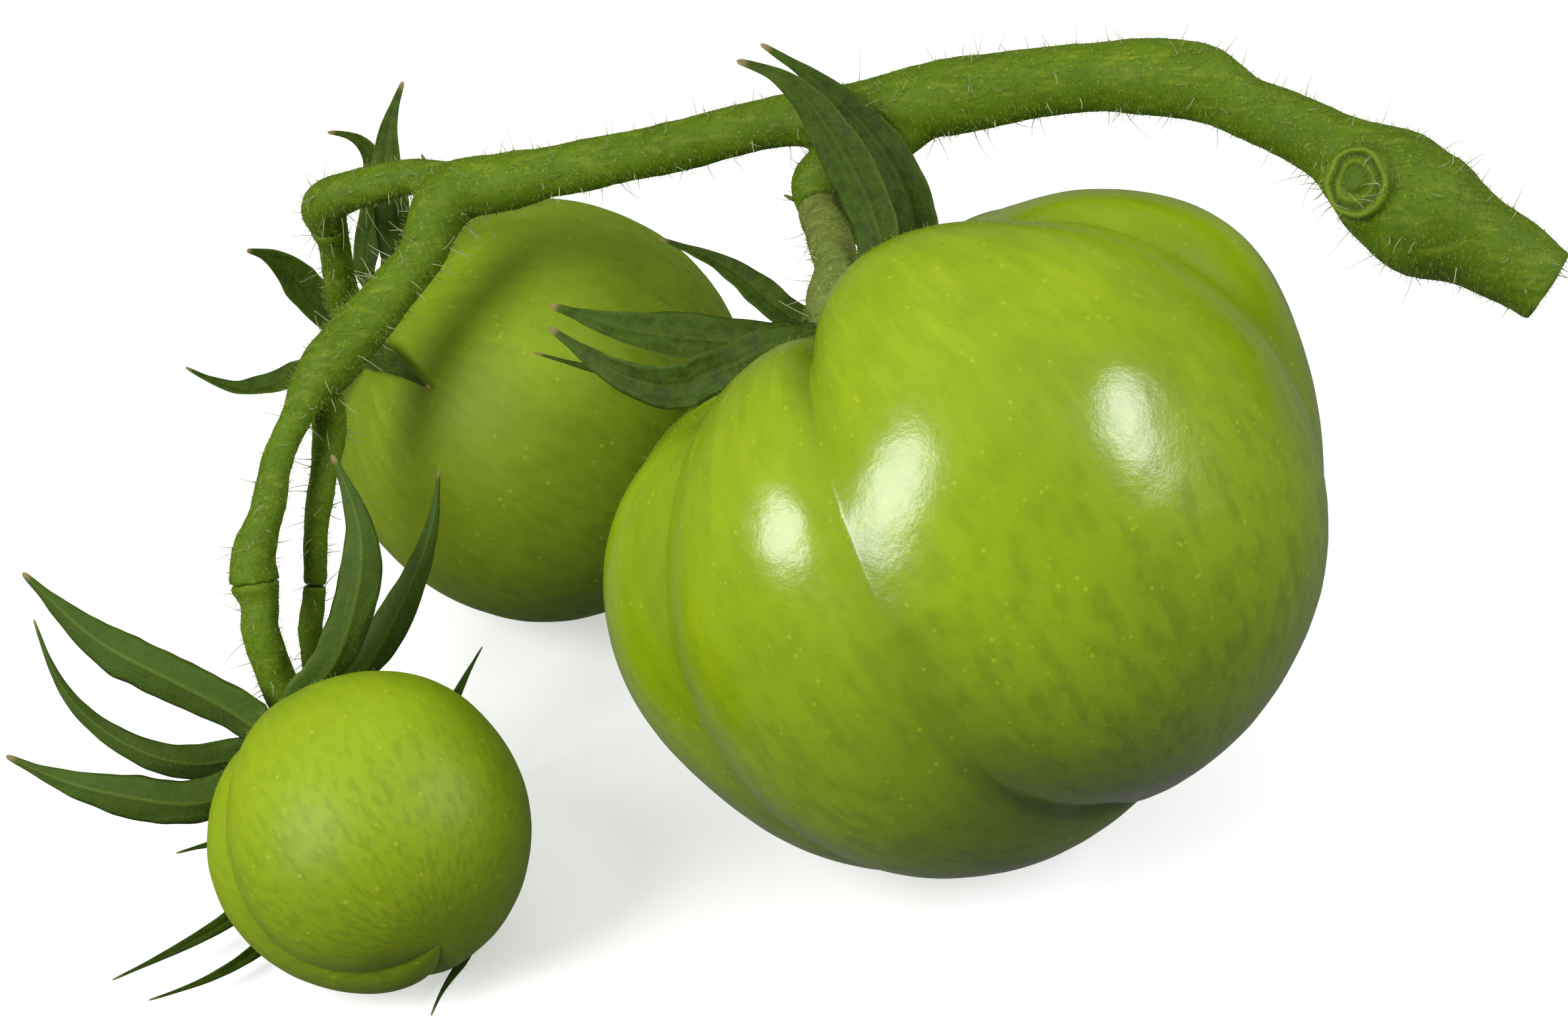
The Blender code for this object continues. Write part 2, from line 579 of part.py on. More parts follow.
# The spent flower: a tiny ovary and its own leaves.
flower_end, flower_direction, _ = spent_branch.at(spent_branch.marks[-1])
flower_side = flower_direction.orthogonal().normalized()
spent_calyx = {
    "centre": flower_end,
    "axis": -flower_direction,
    "axes": Matrix((flower_side, (-flower_direction).cross(flower_side), -flower_direction)).transposed(),
    "ring_radius": SPENT_RECEPTACLE * STALK_THICKNESS,
    "leaves": 5,
}
SPENT_LEAVES = (
    (2, 2.0, (0, 0, 1), ((-8, -7, 5), (-12.5, -12, 10.5), (-19.5, -16, 14.5), (-26, -19, 17))),
    (74, 2.0, (0, 0, 1), ((-4.5, -9.5, 4.5), (-10, -15.5, 12.5), (-15.5, -19, 17), (-22, -21, 19))),
    (-70, 1.8, (0, 0, 1), ((-6, -1.5, 0), (-10.5, -4, 6), (-16.5, -5, 8), (-20, -6, 9))),
    (146, 1.8, (0, 0, 1), ((7, -4, 1), (12, -12, 8), (9, -19, 17), (8, -22.5, 21))),
    (-142, 1.6, (0, 0, 1), ((4.5, 4, -3), (7.5, 6.5, -1.5), (10.5, 12.5, 0.5), (12.5, 16, 0.5))),
)
for number, (root, width, face, way) in enumerate(SPENT_LEAVES, 1):
    calyx_leaf(f"spent_flower_leaf_{number}", small, spent_calyx, root, width, face, way, GREEN_LEAF)
ovary = bmesh.new()
bmesh.ops.create_icosphere(ovary, subdivisions=2, radius=OVARY_RADIUS)
bmesh.ops.translate(ovary, verts=ovary.verts, vec=flower_end + flower_direction * (OVARY_RADIUS + GAP))
add_object("spent_flower_ovary", ovary, BRIGHT_SKIN)
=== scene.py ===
"""A cut truss of three unripe tomatoes: its skins, hairy stalks and calyx leaves, in soft studio light."""

import math

import bmesh
import bpy
import numpy as np
from mathutils import Matrix, Vector, noise


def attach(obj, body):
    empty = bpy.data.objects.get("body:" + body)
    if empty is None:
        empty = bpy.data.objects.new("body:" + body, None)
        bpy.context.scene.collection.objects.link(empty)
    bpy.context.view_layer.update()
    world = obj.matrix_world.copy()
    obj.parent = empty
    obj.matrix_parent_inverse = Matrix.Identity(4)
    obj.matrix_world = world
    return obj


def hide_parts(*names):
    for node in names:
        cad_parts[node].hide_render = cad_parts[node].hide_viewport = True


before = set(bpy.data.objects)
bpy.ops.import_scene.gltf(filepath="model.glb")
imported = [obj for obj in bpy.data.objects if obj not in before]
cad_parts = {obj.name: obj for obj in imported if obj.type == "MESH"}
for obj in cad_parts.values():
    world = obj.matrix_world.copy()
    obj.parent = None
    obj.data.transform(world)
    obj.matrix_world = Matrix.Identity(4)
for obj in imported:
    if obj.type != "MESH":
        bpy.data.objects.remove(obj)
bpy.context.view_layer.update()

MM = 0.001

# How the truss lies. Its own plane leans back from upright, and directions on it are read in that plane:
# "turn" is the angle from the right hand side, "lift" the angle out of the plane towards the front.
LEAN = math.radians(40)
TRUSS_AXES = Matrix.Rotation(math.radians(90) - LEAN, 3, "X")

GAP = 0.3 * MM  # between neighbouring pieces
FLAT_DEPTH = 0.35 * MM  # how much each fruit flattens where it rests

# The fruits.
LARGE_RADIUS = 38.6 * MM
LARGE_HALF_HEIGHT = 34 * MM
MIDDLE_RADIUS = 23.4 * MM
MIDDLE_HALF_HEIGHT = 22.5 * MM
SMALL_RADIUS = 17 * MM
SMALL_HALF_HEIGHT = 16.4 * MM
MIDDLE_GAP = 1.5 * MM  # between the large and the middle fruit
SMALL_SPACE = 14.2 * MM  # between the large and the small fruit

# The stalks: factors on the radii below let all of them grow thicker or thinner together.
STALK_THICKNESS = 1.0
STALK_SIDES = 10
RING_SPACING = 3.2 * MM
LARGE_RECEPTACLE = 3.4 * MM
MIDDLE_RECEPTACLE = 2.8 * MM
SMALL_RECEPTACLE = 2.7 * MM
SPENT_RECEPTACLE = 1.1 * MM
SCAR_RADIUS = 3.9 * MM
SCAR_HEIGHT = 1.2 * MM
SCAR_SEAT = 0.9  # share of the stalk's radius from which the scar rises
SCAR_SUNK = 0.3  # share of the stalk's radius at which it starts, inside the stalk
SCAR_FLARE = 1.15  # how much wider it is there
OVARY_RADIUS = 1.7 * MM

# The calyx leaves.
LEAF_THICKNESS = 0.8 * MM
LEAF_WIDTH = 1.0
LEAF_ROOT = 1.6 * MM  # how far a leaf runs straight out from its root
LEAF_RINGS = 22
LEAF_SMOOTHING = 8
LEAF_TWIST_SHARE = 0.5  # how much of its length a leaf takes to turn its face
LEAF_WIDEST = 0.4  # share of its length at which a leaf is widest
LEAF_TAPER = 1.6  # how full a leaf stays towards its tip
LEAF_TIP = 0.20  # width at the tip, as a share of the full width
LEAF_CUP = 0.25  # how far the edges stand up, as a share of the half width
LEAF_TURN = 0.7  # where a leaf turns sideways, its half width stays under this share of the turn's radius

# The finer detail of the skin.
SKIN_FINER = 6  # times as many rings and steps as the plain shape
SKIN_FACTS = 8  # numbers kept for each of its points
CREASE_LINE = 0.7 * MM
CREASE_LINE_DEPTH = 0.25 * MM
CREASE_LINE_LEAST = 0.1  # share of that depth away from the blossom end
CREASE_LINE_FROM = 1.9  # angle from the stem end, in radians, where the line starts to deepen
CREASE_LINE_OVER = 0.5  # and the angle over which it does
CREASE_SOFTNESS = 0.20  # how round the bottom of a crease is half way down the fruit
SKIN_SWELL = 0.45 * MM
SKIN_SWELL_SIZE = 15 * MM
SKIN_RIPPLE = 0.05 * MM
SKIN_RIPPLE_SIZE = 3 * MM

# The camera and the lamps.
CAMERA_LENS = 151.41
CAMERA_ASIDE = (-20.07, 2.3)  # millimetres from the large fruit's centre, in the plane of the truss
CAMERA_AWAY = 700
WORLD_STRENGTH = 0.16
CAMERA_CLIP = (0.01, 20)
FLOOR_HALF = 3.0
FLOOR_DROP = 0.2 * MM
FLOOR_GLOW = 0.5

# The finer detail of the stalks.
STALK_FINE_SPACING = 0.8 * MM
STALK_FINE_SIDES = 32
STALK_VOXEL = 0.32 * MM
STALK_SWELL = 0.22 * MM
STALK_SWELL_SIZE = 5 * MM
STALK_RIPPLE = 0.07 * MM
STALK_RIPPLE_SIZE = 1.1 * MM
STALK_SMOOTHING = 10
SCAR_REACH = 5 * MM
SCAR_NARROW = 1.2  # the scar is this much longer than wide
SCAR_UNEVEN = 0.4 * MM
SCAR_UNEVEN_SIZE = 2 * MM
SCAR_FAR = 20.0  # the scar's distance where there is no scar
# Its rings: height, distance from its middle and width, in millimetres.
SCAR_RINGS = ((0.20, 3.35, 0.35), (-0.30, 2.65, 0.35), (0.14, 2.05, 0.25),
              (-0.28, 1.45, 0.30), (0.15, 0, 0.9))

# The finer detail of the leaves.
LEAF_FINER = 4
LEAF_BLADE = 0.92  # width of the blade without its down, as a share of the whole
LEAF_STEPS = 14
LEAF_HALF = 0.34 * MM
LEAF_ROOT_HALF = 0.25 * MM
LEAF_INSIDE = 0.8 * MM
LEAF_RIB = 0.3 * MM
LEAF_GROOVE = 0.34 * MM
LEAF_WAVE = 0.55 * MM
LEAF_WAVE_SIZE = 3.5 * MM
LEAF_RAGGED = 0.06
LEAF_RAGGED_SIZE = 2.2 * MM
LEAF_CLEARANCE = 0.25 * MM
LEAF_CLOSING = 0.93
TIP_TAN = (0.30, 0.22, 0.09)
LIGHT_DEPTHS = (0.5, 1.0, 0.15)  # how deep red, green and blue light go into the plant, against each other

# How many hairs.
SHORT_HAIRS = 12000
LONG_HAIRS = 520
LEAF_HAIRS = 9000
SKIN_HAIRS = 16000  # before the ones away from the stem ends are left out
SKIN_HAIR_REACH = 1.3  # a skin's hairs are within this many radii of its fruit's centre

# The lamps: direction in the plane of the truss (right, up, front), size in metres, power in watts, and
# whether it is reflected in the skins.
LAMP_DISTANCE = 1.0
LAMPS = (
    ("front_left_softbox", (-0.68, 0.12, 0.72), (0.48, 0.72), 9.0, True),
    ("front_right_softbox", (0.75, 0.45, 0.50), (0.42, 0.42), 4.9, True),
    ("overhead_fill", (0.0, 0.80, 0.60), (1.4, 1.4), 4.5, False),
)


def truss_vector(right, up, front):
    """World vector for millimetres in the plane of the truss."""
    return TRUSS_AXES @ Vector((right, up, front)) * MM


def truss_direction(turn, lift):
    """Unit vector in the world for a direction given in the plane of the truss, in degrees."""
    a, b = math.radians(turn), math.radians(lift)
    return TRUSS_AXES @ Vector((math.cos(a) * math.cos(b), math.sin(a) * math.cos(b), math.sin(b)))


def bell(x, middle, width):
    """1 at the middle, falling off smoothly on both sides."""
    return math.exp(-(((x - middle) / width) ** 2))


def smooth_step(x):
    """0 below 0 and 1 above 1, with a smooth rise between."""
    x = min(max(x, 0.0), 1.0)
    return x * x * (3 - 2 * x)


def curve(start, end, leave, arrive, t):
    """A value part way from start to end, for its slopes at both."""
    return (start * (2 * t**3 - 3 * t**2 + 1) + leave * (t**3 - 2 * t**2 + t)
            + end * (3 * t**2 - 2 * t**3) + arrive * (t**3 - t**2))


def lobe_span(lobe, following):
    """How far a lobe goes round the stem axis."""
    return (following[0] - lobe[0]) % math.tau or math.tau


def band_faces(bands, around):
    """Four-sided faces between rings of points that follow one another."""
    faces = []
    for ring in range(bands):
        for step in range(around):
            low, high = ring * around, (ring + 1) * around
            after = (step + 1) % around
            faces.append((low + step, low + after, high + after, high + step))
    return faces


def write_fact(mesh, name, values):
    """Notes a number for each point of a mesh, for its material to read."""
    attribute = mesh.attributes.new(name, "FLOAT", "POINT")
    attribute.data.foreach_set("value", np.ascontiguousarray(values, dtype=np.float32))


def mesh_from(name, bm):
    """A mesh of what was built, which is then let go."""
    mesh = bpy.data.meshes.new(name)
    bm.to_mesh(mesh)
    bm.free()
    return mesh


def linked(name, data):
    """A new object in the scene."""
    thing = bpy.data.objects.new(name, data)
    bpy.context.scene.collection.objects.link(thing)
    return thing


class Fruit:
    """A squarish ellipsoid about its stem axis, dimpled at both ends and creased into lobes.

    Azimuths run round the stem axis, 0 towards the front and positive to the right. Each lobe gives the azimuth
    of the crease where it starts, how deep that crease is, and how far the lobe stands out at its shoulder and
    at its belly. The splay spreads the front creases apart towards the blossom end.
    """

    SHOULDER = math.radians(30)
    SHOULDER_SPREAD = math.radians(18)
    BELLY = math.radians(80)
    BELLY_SPREAD = math.radians(22)

    def __init__(self, radius, half_height, squareness, stem_dimple, blossom_dimple, axis, splay, waist, lobes,
                 rings, steps):
        self.radius = radius
        self.half_height = half_height
        self.squareness = squareness
        self.stem_dimple, self.stem_dimple_width = stem_dimple[0], math.radians(stem_dimple[1])
        self.blossom_dimple, self.blossom_dimple_width = blossom_dimple[0], math.radians(blossom_dimple[1])
        self.splay = math.radians(splay)
        self.waist = waist
        self.lobes = [(math.radians(lobe[0]), lobe[1] * MM, lobe[2] * MM, lobe[3] * MM) for lobe in lobes]
        self.rings = rings
        self.steps = steps
        self.axis = truss_direction(*axis)
        front = TRUSS_AXES @ Vector((0, 0, 1))
        front = (front - front.project(self.axis)).normalized()
        self.axes = Matrix((front, self.axis.cross(front), self.axis)).transposed()
        lowest = min(self.skin_offsets(), key=lambda offset: offset.z)
        self.foot = Vector((lowest.x, lowest.y, lowest.z + FLAT_DEPTH))
        self.centre = -self.foot

    def lobe_at(self, azimuth):
        """The lobe that holds an azimuth, the one after it, and how far across it that is, 0 to 1."""
        for index, lobe in enumerate(self.lobes):
            following = self.lobes[(index + 1) % len(self.lobes)]
            across = (azimuth - lobe[0]) % math.tau / lobe_span(lobe, following)
            if across < 1:
                return lobe, following, across
        return self.lobes[0], self.lobes[1], 0.0

    def lobed_reach(self, polar, azimuth):
        """Distance from the centre to the skin, at an azimuth before the splay."""
        s, c = abs(math.sin(polar)), math.cos(polar)
        power = self.squareness
        reach = ((s / self.radius) ** power + (abs(c) / self.half_height) ** power) ** (-1 / power)
        reach -= self.stem_dimple * bell(polar, 0, self.stem_dimple_width)
        reach -= self.blossom_dimple * bell(polar, math.pi, self.blossom_dimple_width)
        lobe, following, across = self.lobe_at(azimuth)
        arch = 4 * across * (1 - across)
        soft = CREASE_SOFTNESS * s**3
        crest = (arch**2 + soft**2) ** 0.35 - soft**0.7 * (1 - arch)
        crease = lobe[1] + (following[1] - lobe[1]) * across
        deepening = self.waist + (1 - self.waist) * abs(c)
        relief = lobe[2] * bell(polar, self.SHOULDER, self.SHOULDER_SPREAD)
        relief += lobe[3] * bell(polar, self.BELLY, self.BELLY_SPREAD)
        return reach + relief * crest - crease * (1 - crest) * deepening * min(1, 2.5 * s)

    def reach_at(self, polar, azimuth):
        """Distance from the centre to the skin, polar counted from the stem end."""
        before = azimuth
        for _ in range(5):
            before = azimuth + self.splay * math.sin(before) * math.cos(polar)
        return self.lobed_reach(polar, before)

    def reach(self, direction):
        """Distance from the centre to the skin in a world direction."""
        local = self.axes.transposed() @ direction.normalized()
        return self.reach_at(math.acos(max(-1, min(1, local.z))), math.atan2(local.y, local.x))

    def clustered(self, azimuth):
        """Moves evenly spaced azimuths so that each lobe has equal steps, closest together at its creases."""
        share = azimuth % math.tau / math.tau * len(self.lobes)
        index = int(share)
        lobe, following = (self.lobes[(index + step) % len(self.lobes)] for step in (0, 1))
        return lobe[0] + lobe_span(lobe, following) * (1 - math.cos(math.pi * (share - index))) / 2

    def splayed(self, polar, before):
        """The azimuth after the splay, and the unit vector from the centre in the fruit's own axes."""
        azimuth = before - self.splay * math.sin(before) * math.cos(polar)
        s = math.sin(polar)
        return azimuth, Vector((s * math.cos(azimuth), s * math.sin(azimuth), math.cos(polar)))

    def skin_offset(self, unit):
        """Offset from the centre of the skin point that stands for a point of an even unit sphere."""
        polar = math.acos(max(-1, min(1, unit.z)))
        before = self.clustered(math.atan2(unit.y, unit.x))
        return self.axes @ self.splayed(polar, before)[1] * self.lobed_reach(polar, before)

    def unit_sphere(self):
        bm = bmesh.new()
        bmesh.ops.create_uvsphere(bm, u_segments=self.steps * len(self.lobes), v_segments=self.rings, radius=1)
        return bm

    def skin_offsets(self):
        sphere = self.unit_sphere()
        offsets = [self.skin_offset(vertex.co.normalized()) for vertex in sphere.verts]
        sphere.free()
        return offsets

    def lie_beside(self, other, bearing, gap):
        """Rests on the table in a direction from another fruit, so that their skins stay so far apart."""
        heading = Vector((math.cos(math.radians(bearing)), math.sin(math.radians(bearing)), 0))
        rise = Vector((0, 0, self.centre.z - other.centre.z))
        along = self.radius + other.radius
        for _ in range(8):
            towards = (heading * along + rise).normalized()
            apart = self.reach(-towards) + other.reach(towards) + gap
            along = math.sqrt(apart**2 - rise.z**2)
        self.centre = other.centre + heading * along + rise

    def around(self, turn, lift, height):
        """A point in a direction from the centre, so many millimetres further out than the radius."""
        return self.centre + truss_direction(turn, lift) * (self.radius + height * MM)

    def seat(self, radius):
        """Height along the axis at which a disc of this radius just clears the stem end."""
        highest = 0.0
        for azimuth in range(0, 360, 15):
            polar = 0.0
            while self.reach_at(polar, math.radians(azimuth)) * math.sin(polar) < radius:
                highest = max(highest, self.reach_at(polar, math.radians(azimuth)) * math.cos(polar))
                polar += math.radians(1)
            highest = max(highest, self.reach_at(polar, math.radians(azimuth)) * math.cos(polar))
        return highest + GAP

    def push_clear(self, points, margin):
        """How far a group of points has to move away from the centre to clear the skin."""
        middle = sum(points, Vector()) / len(points) - self.centre
        offsets = [point - self.centre for point in points]
        shortfall = max(self.reach(offset) + margin - offset.length for offset in offsets)
        return middle.normalized() * max(0, shortfall)

    def fine_mesh(self, name, finer):
        """The skin as a fine mesh, with what its material needs: nearness of stem and crease, from which it
        paints shade, and place.
        """
        around, down = self.steps * len(self.lobes) * finer, self.rings * finer
        shape = np.array([[self.skin_point(2 * math.pi * i / around, math.pi * j / down) for i in range(around)]
                          for j in range(1, down)])
        ends = [self.skin_point(0, 0), self.skin_point(0, math.pi)]
        rows = shape.reshape(-1, SKIN_FACTS)
        rows = np.vstack([rows, ends])
        faces = []
        for j in range(down - 2):
            for i in range(around):
                after = (i + 1) % around
                high, low = j * around, (j + 1) * around
                faces.append((high + i, low + i, low + after, high + after))
        top, bottom = len(rows) - 2, len(rows) - 1
        for i in range(around):
            after = (i + 1) % around
            faces.append((top, i, after))
            faces.append((bottom, (down - 2) * around + after, (down - 2) * around + i))
        mesh = bpy.data.meshes.new(name)
        mesh.from_pydata(rows[:, :3].tolist(), [], faces)
        write_fact(mesh, "stemward", rows[:, 3])
        write_fact(mesh, "crease", rows[:, 4])
        streak = mesh.attributes.new("streak", "FLOAT_VECTOR", "POINT")
        streak.data.foreach_set("vector", rows[:, 5:8].astype(np.float32).ravel())
        return mesh

    def skin_point(self, turn, polar):
        """A point of the skin with its facts, for an even turn round the axis."""
        before = self.clustered(turn)
        azimuth, way = self.splayed(polar, before)
        lobe, following, across = self.lobe_at(before)
        depth = lobe[1] + (following[1] - lobe[1]) * across
        aside = min(across, 1 - across) * lobe_span(lobe, following) * self.radius * math.sin(polar)
        near = math.exp(-((aside / CREASE_LINE) ** 2)) * min(1, depth / (2 * MM))
        deepening = smooth_step((polar - CREASE_LINE_FROM) / CREASE_LINE_OVER)
        near *= CREASE_LINE_LEAST + (1 - CREASE_LINE_LEAST) * deepening
        reach = self.lobed_reach(polar, before) - CREASE_LINE_DEPTH * near * math.sin(polar)
        reach += SKIN_SWELL * noise.noise(way * self.radius / SKIN_SWELL_SIZE)
        reach += SKIN_RIPPLE * noise.noise(way * self.radius / SKIN_RIPPLE_SIZE)
        point = self.centre + self.axes @ way * reach
        point.z = max(point.z, 0)
        # Nearness to a crease, which the skin's material uses for painted shade along the creases.
        wide = math.exp(-((aside / (6 * CREASE_LINE)) ** 2)) * min(1, depth / (2 * MM))
        return (*point, math.cos(polar), wide, math.cos(azimuth), math.sin(azimuth), polar)


class Stalk:
    """A smooth round stalk through stations of (point, radius), from one end to the other."""

    def __init__(self, stations):
        self.points = [Vector(point) for point, _ in stations]
        self.radii = [radius for _, radius in stations]
        self.marks = [0.0]
        for before, after in zip(self.points, self.points[1:]):
            self.marks.append(self.marks[-1] + (after - before).length)

    def slope(self, index):
        before, after = max(index - 1, 0), min(index + 1, len(self.points) - 1)
        return (self.points[after] - self.points[before]) / (self.marks[after] - self.marks[before])

    def at(self, mark):
        """Position, direction and radius at a distance along the stations."""
        index = max(i for i, start in enumerate(self.marks[:-1]) if start <= mark or i == 0)
        span = self.marks[index + 1] - self.marks[index]
        t = (mark - self.marks[index]) / span
        start, end = self.points[index], self.points[index + 1]
        leave, arrive = self.slope(index) * span, self.slope(index + 1) * span
        place = curve(start, end, leave, arrive, t)
        direction = (start * (6 * t**2 - 6 * t) + leave * (3 * t**2 - 4 * t + 1)
                     + end * (6 * t - 6 * t**2) + arrive * (3 * t**2 - 2 * t))
        radius = self.radii[index] + (self.radii[index + 1] - self.radii[index]) * smooth_step(t)
        return place, direction.normalized(), radius * STALK_THICKNESS

    def tube(self, first=None, last=None, spacing=RING_SPACING, sides=STALK_SIDES):
        """A closed tube between two marks."""
        first = 0.0 if first is None else first
        last = self.marks[-1] if last is None else last
        count = max(2, math.ceil((last - first) / spacing))
        bm = bmesh.new()
        across = None
        rings = []
        for step in range(count + 1):
            place, direction, radius = self.at(first + (last - first) * step / count)
            across = direction.orthogonal() if across is None else across - across.project(direction)
            across.normalize()
            other = direction.cross(across)
            ring = []
            for side in range(sides):
                angle = math.tau * side / sides
                ring.append(bm.verts.new(place + (across * math.cos(angle) + other * math.sin(angle)) * radius))
            rings.append(ring)
        for lower, upper in zip(rings, rings[1:]):
            for side in range(sides):
                after = (side + 1) % sides
                bm.faces.new((lower[side], lower[after], upper[after], upper[side]))
        bm.faces.new(list(reversed(rings[0])))
        bm.faces.new(rings[-1])
        return bm


def leaf_line(fruit, spine, margin):
    """Evenly spaced points along a leaf, smoothed and clear of the fruit. The first two stay as they are."""
    marks = [spine.marks[-1] * ring / (LEAF_RINGS - 1) for ring in range(LEAF_RINGS)]
    points = [spine.at(mark)[0] for mark in marks]
    for _ in range(LEAF_SMOOTHING):
        inner = [(points[i - 1] + points[i] * 2 + points[i + 1]) / 4 for i in range(2, LEAF_RINGS - 1)]
        inner = [point + fruit.push_clear([point], margin) for point in inner]
        points = points[:2] + inner + points[-1:]
    return points


def leaf_frames(points, axis, face):
    """Direction and normal at each point of a leaf. The normal turns from the calyx axis to the face."""
    last = len(points) - 1
    directions = [(points[min(i + 1, last)] - points[max(i - 1, 0)]).normalized() for i in range(last + 1)]
    directions[0] = (points[1] - points[0]).normalized()
    normals = [axis.lerp(face, smooth_step(i / last / LEAF_TWIST_SHARE)) for i in range(last + 1)]
    for _ in range(LEAF_SMOOTHING):
        normals = [(normals[max(i - 1, 0)] + normals[i] + normals[min(i + 1, last)]) / 3
                   for i in range(last + 1)]
        normals[0] = axis
        normals = [(normal - normal.project(way)).normalized() for normal, way in zip(normals, directions)]
    return list(zip(points, directions, normals))


def between(values, place):
    """A smooth value part way along a list."""
    index = min(max(int(place), 0), len(values) - 2)
    t = place - index
    before, after = values[max(index - 1, 0)], values[min(index + 2, len(values) - 1)]
    start, end = values[index], values[index + 1]
    leave, arrive = (end - before) * 0.5, (after - start) * 0.5
    return curve(start, end, leave, arrive, t)


def leaf_half_widths(frames, root_half_width, full_half_width):
    """Half width at each frame: a root, a lance-shaped blade, narrower wherever the leaf turns sideways."""
    widths = []
    for ring, (_, direction, normal) in enumerate(frames):
        share = ring / (LEAF_RINGS - 1)
        swell = math.sin(math.pi / 2 * min(1, share / LEAF_WIDEST))
        swell *= 1 - max(0, (share - LEAF_WIDEST) / (1 - LEAF_WIDEST)) ** LEAF_TAPER
        half_width = root_half_width * (1 - share) ** 2 + full_half_width * max(swell, LEAF_TIP * share)
        half_width = min(half_width, max(root_half_width, full_half_width))
        if 0 < ring < LEAF_RINGS - 1:
            before, after = frames[ring - 1], frames[ring + 1]
            turn = abs((after[1] - before[1]).dot(direction.cross(normal))) / (after[0] - before[0]).length
            half_width = min(half_width, LEAF_TURN / max(turn, 1))
        widths.append(half_width)
    return widths


def calyx_leaf(name, fruit, calyx, root, width, face, way):
    """A fine calyx leaf: thin, cupped and wavy-edged. Its midrib stands out below and sinks in above."""
    outward = calyx["axes"] @ Vector((math.cos(math.radians(root)), math.sin(math.radians(root)), 0))
    root_radius = calyx["ring_radius"] + GAP
    start = calyx["centre"] + outward * root_radius + calyx["axis"] * LEAF_THICKNESS
    stations = [start, start + outward * LEAF_ROOT]
    stations += [calyx["centre"] + truss_vector(*point) for point in way]
    points = leaf_line(fruit, Stalk([(point, 0) for point in stations]), LEAF_THICKNESS + GAP)
    frames = leaf_frames(points, calyx["axis"], (TRUSS_AXES @ Vector(face)).normalized())
    root_half_width = root_radius * math.tan(math.pi / calyx["leaves"]) - GAP / 2
    widths = leaf_half_widths(frames, root_half_width, width / 2 * MM * LEAF_WIDTH * LEAF_BLADE)
    places, directions, normals = zip(*frames)
    length = sum((after - before).length for before, after in zip(points, points[1:]))
    rows, facts = [], []
    count = (LEAF_RINGS - 1) * LEAF_FINER
    seed = Vector((root, width * 10, 0))
    for ring in range(-1, count + 1):
        share = max(ring, 0) / count
        index = share * (LEAF_RINGS - 1)
        place, half_width = between(places, index), between(widths, index)
        direction = between(directions, index).normalized()
        normal = between(normals, index)
        normal = (normal - normal.project(direction)).normalized()
        across = direction.cross(normal)
        if ring < 0:
            place = place - outward * LEAF_INSIDE
        closing = math.sqrt(max(0.0, 1 - max(0.0, (share - LEAF_CLOSING) / (1 - LEAF_CLOSING)) ** 2))
        thick = LEAF_HALF * (1 - 0.45 * share) + LEAF_ROOT_HALF * math.exp(-share * 12)
        thick *= 0.15 + 0.85 * closing
        half_width *= 0.1 + 0.9 * closing
        rib = (1 - share) * closing
        section = []
        for step in range(LEAF_STEPS * 2):
            below = step >= LEAF_STEPS
            aside = -1 + 2 * step / LEAF_STEPS if not below else 1 - 2 * (step - LEAF_STEPS) / LEAF_STEPS
            rise = half_width * LEAF_CUP * abs(aside) ** 1.5
            edge = math.sqrt(max(0, 1 - aside * aside))
            if below:
                rise -= thick * edge + LEAF_RIB * bell(aside, 0, 0.16) * rib
            else:
                rise += thick * edge - LEAF_GROOVE * bell(aside, 0, 0.11) * rib
            wave = noise.noise(seed + Vector((share * length / LEAF_WAVE_SIZE, 0, aside * 2)))
            rise += wave * aside * aside * LEAF_WAVE * min(1, half_width / (1.5 * MM)) * min(1, share * 6)
            ragged = 1 + LEAF_RAGGED * noise.noise(seed + Vector((share * length / LEAF_RAGGED_SIZE, aside, 5)))
            section.append(place + across * half_width * aside * ragged + normal * rise)
            facts.append((share, aside, float(below)))
        push = fruit.push_clear(section, LEAF_CLEARANCE) if ring > 0 else Vector()
        rows.extend(point + push for point in section)
    around = LEAF_STEPS * 2
    faces = band_faces(count + 1, around)
    faces.append(tuple(reversed(range(around))))
    faces.append(tuple(range((count + 1) * around, (count + 2) * around)))
    mesh = bpy.data.meshes.new(name + "_fine")
    mesh.from_pydata([tuple(point) for point in rows], [], faces)
    for fact, values in zip(("along", "aside", "below"), zip(*facts)):
        write_fact(mesh, fact, values)
    outward_facing(mesh)
    piece = link_piece(name + "_fine", mesh, LEAF)
    finish_piece(piece, name)
    return piece


def outward_facing(mesh):
    """Turns all faces of a closed mesh outwards."""
    bm = bmesh.new()
    bm.from_mesh(mesh)
    bmesh.ops.recalc_face_normals(bm, faces=bm.faces)
    bm.to_mesh(mesh)
    bm.free()


def scatter(pieces, count, seed):
    """Random places, even by area, on several pieces: their points and the skin's normals there."""
    random_source = np.random.default_rng(seed)
    corners = []
    for piece in pieces:
        mesh = piece.data
        mesh.calc_loop_triangles()
        spots = np.empty(len(mesh.vertices) * 3)
        mesh.vertices.foreach_get("co", spots)
        index = np.empty(len(mesh.loop_triangles) * 3, dtype=np.int32)
        mesh.loop_triangles.foreach_get("vertices", index)
        corners.append(spots.reshape(-1, 3)[index.reshape(-1, 3)])
    corners = np.concatenate(corners)
    cross = np.cross(corners[:, 1] - corners[:, 0], corners[:, 2] - corners[:, 0])
    area = np.linalg.norm(cross, axis=1)
    chosen = random_source.choice(len(corners), count, p=area / area.sum())
    a, b = random_source.random((2, count, 1))
    folded = a + b > 1
    a, b = np.where(folded, 1 - a, a), np.where(folded, 1 - b, b)
    picked = corners[chosen]
    points = picked[:, 0] + (picked[:, 1] - picked[:, 0]) * a + (picked[:, 2] - picked[:, 0]) * b
    return points, cross[chosen] / area[chosen][:, None], random_source


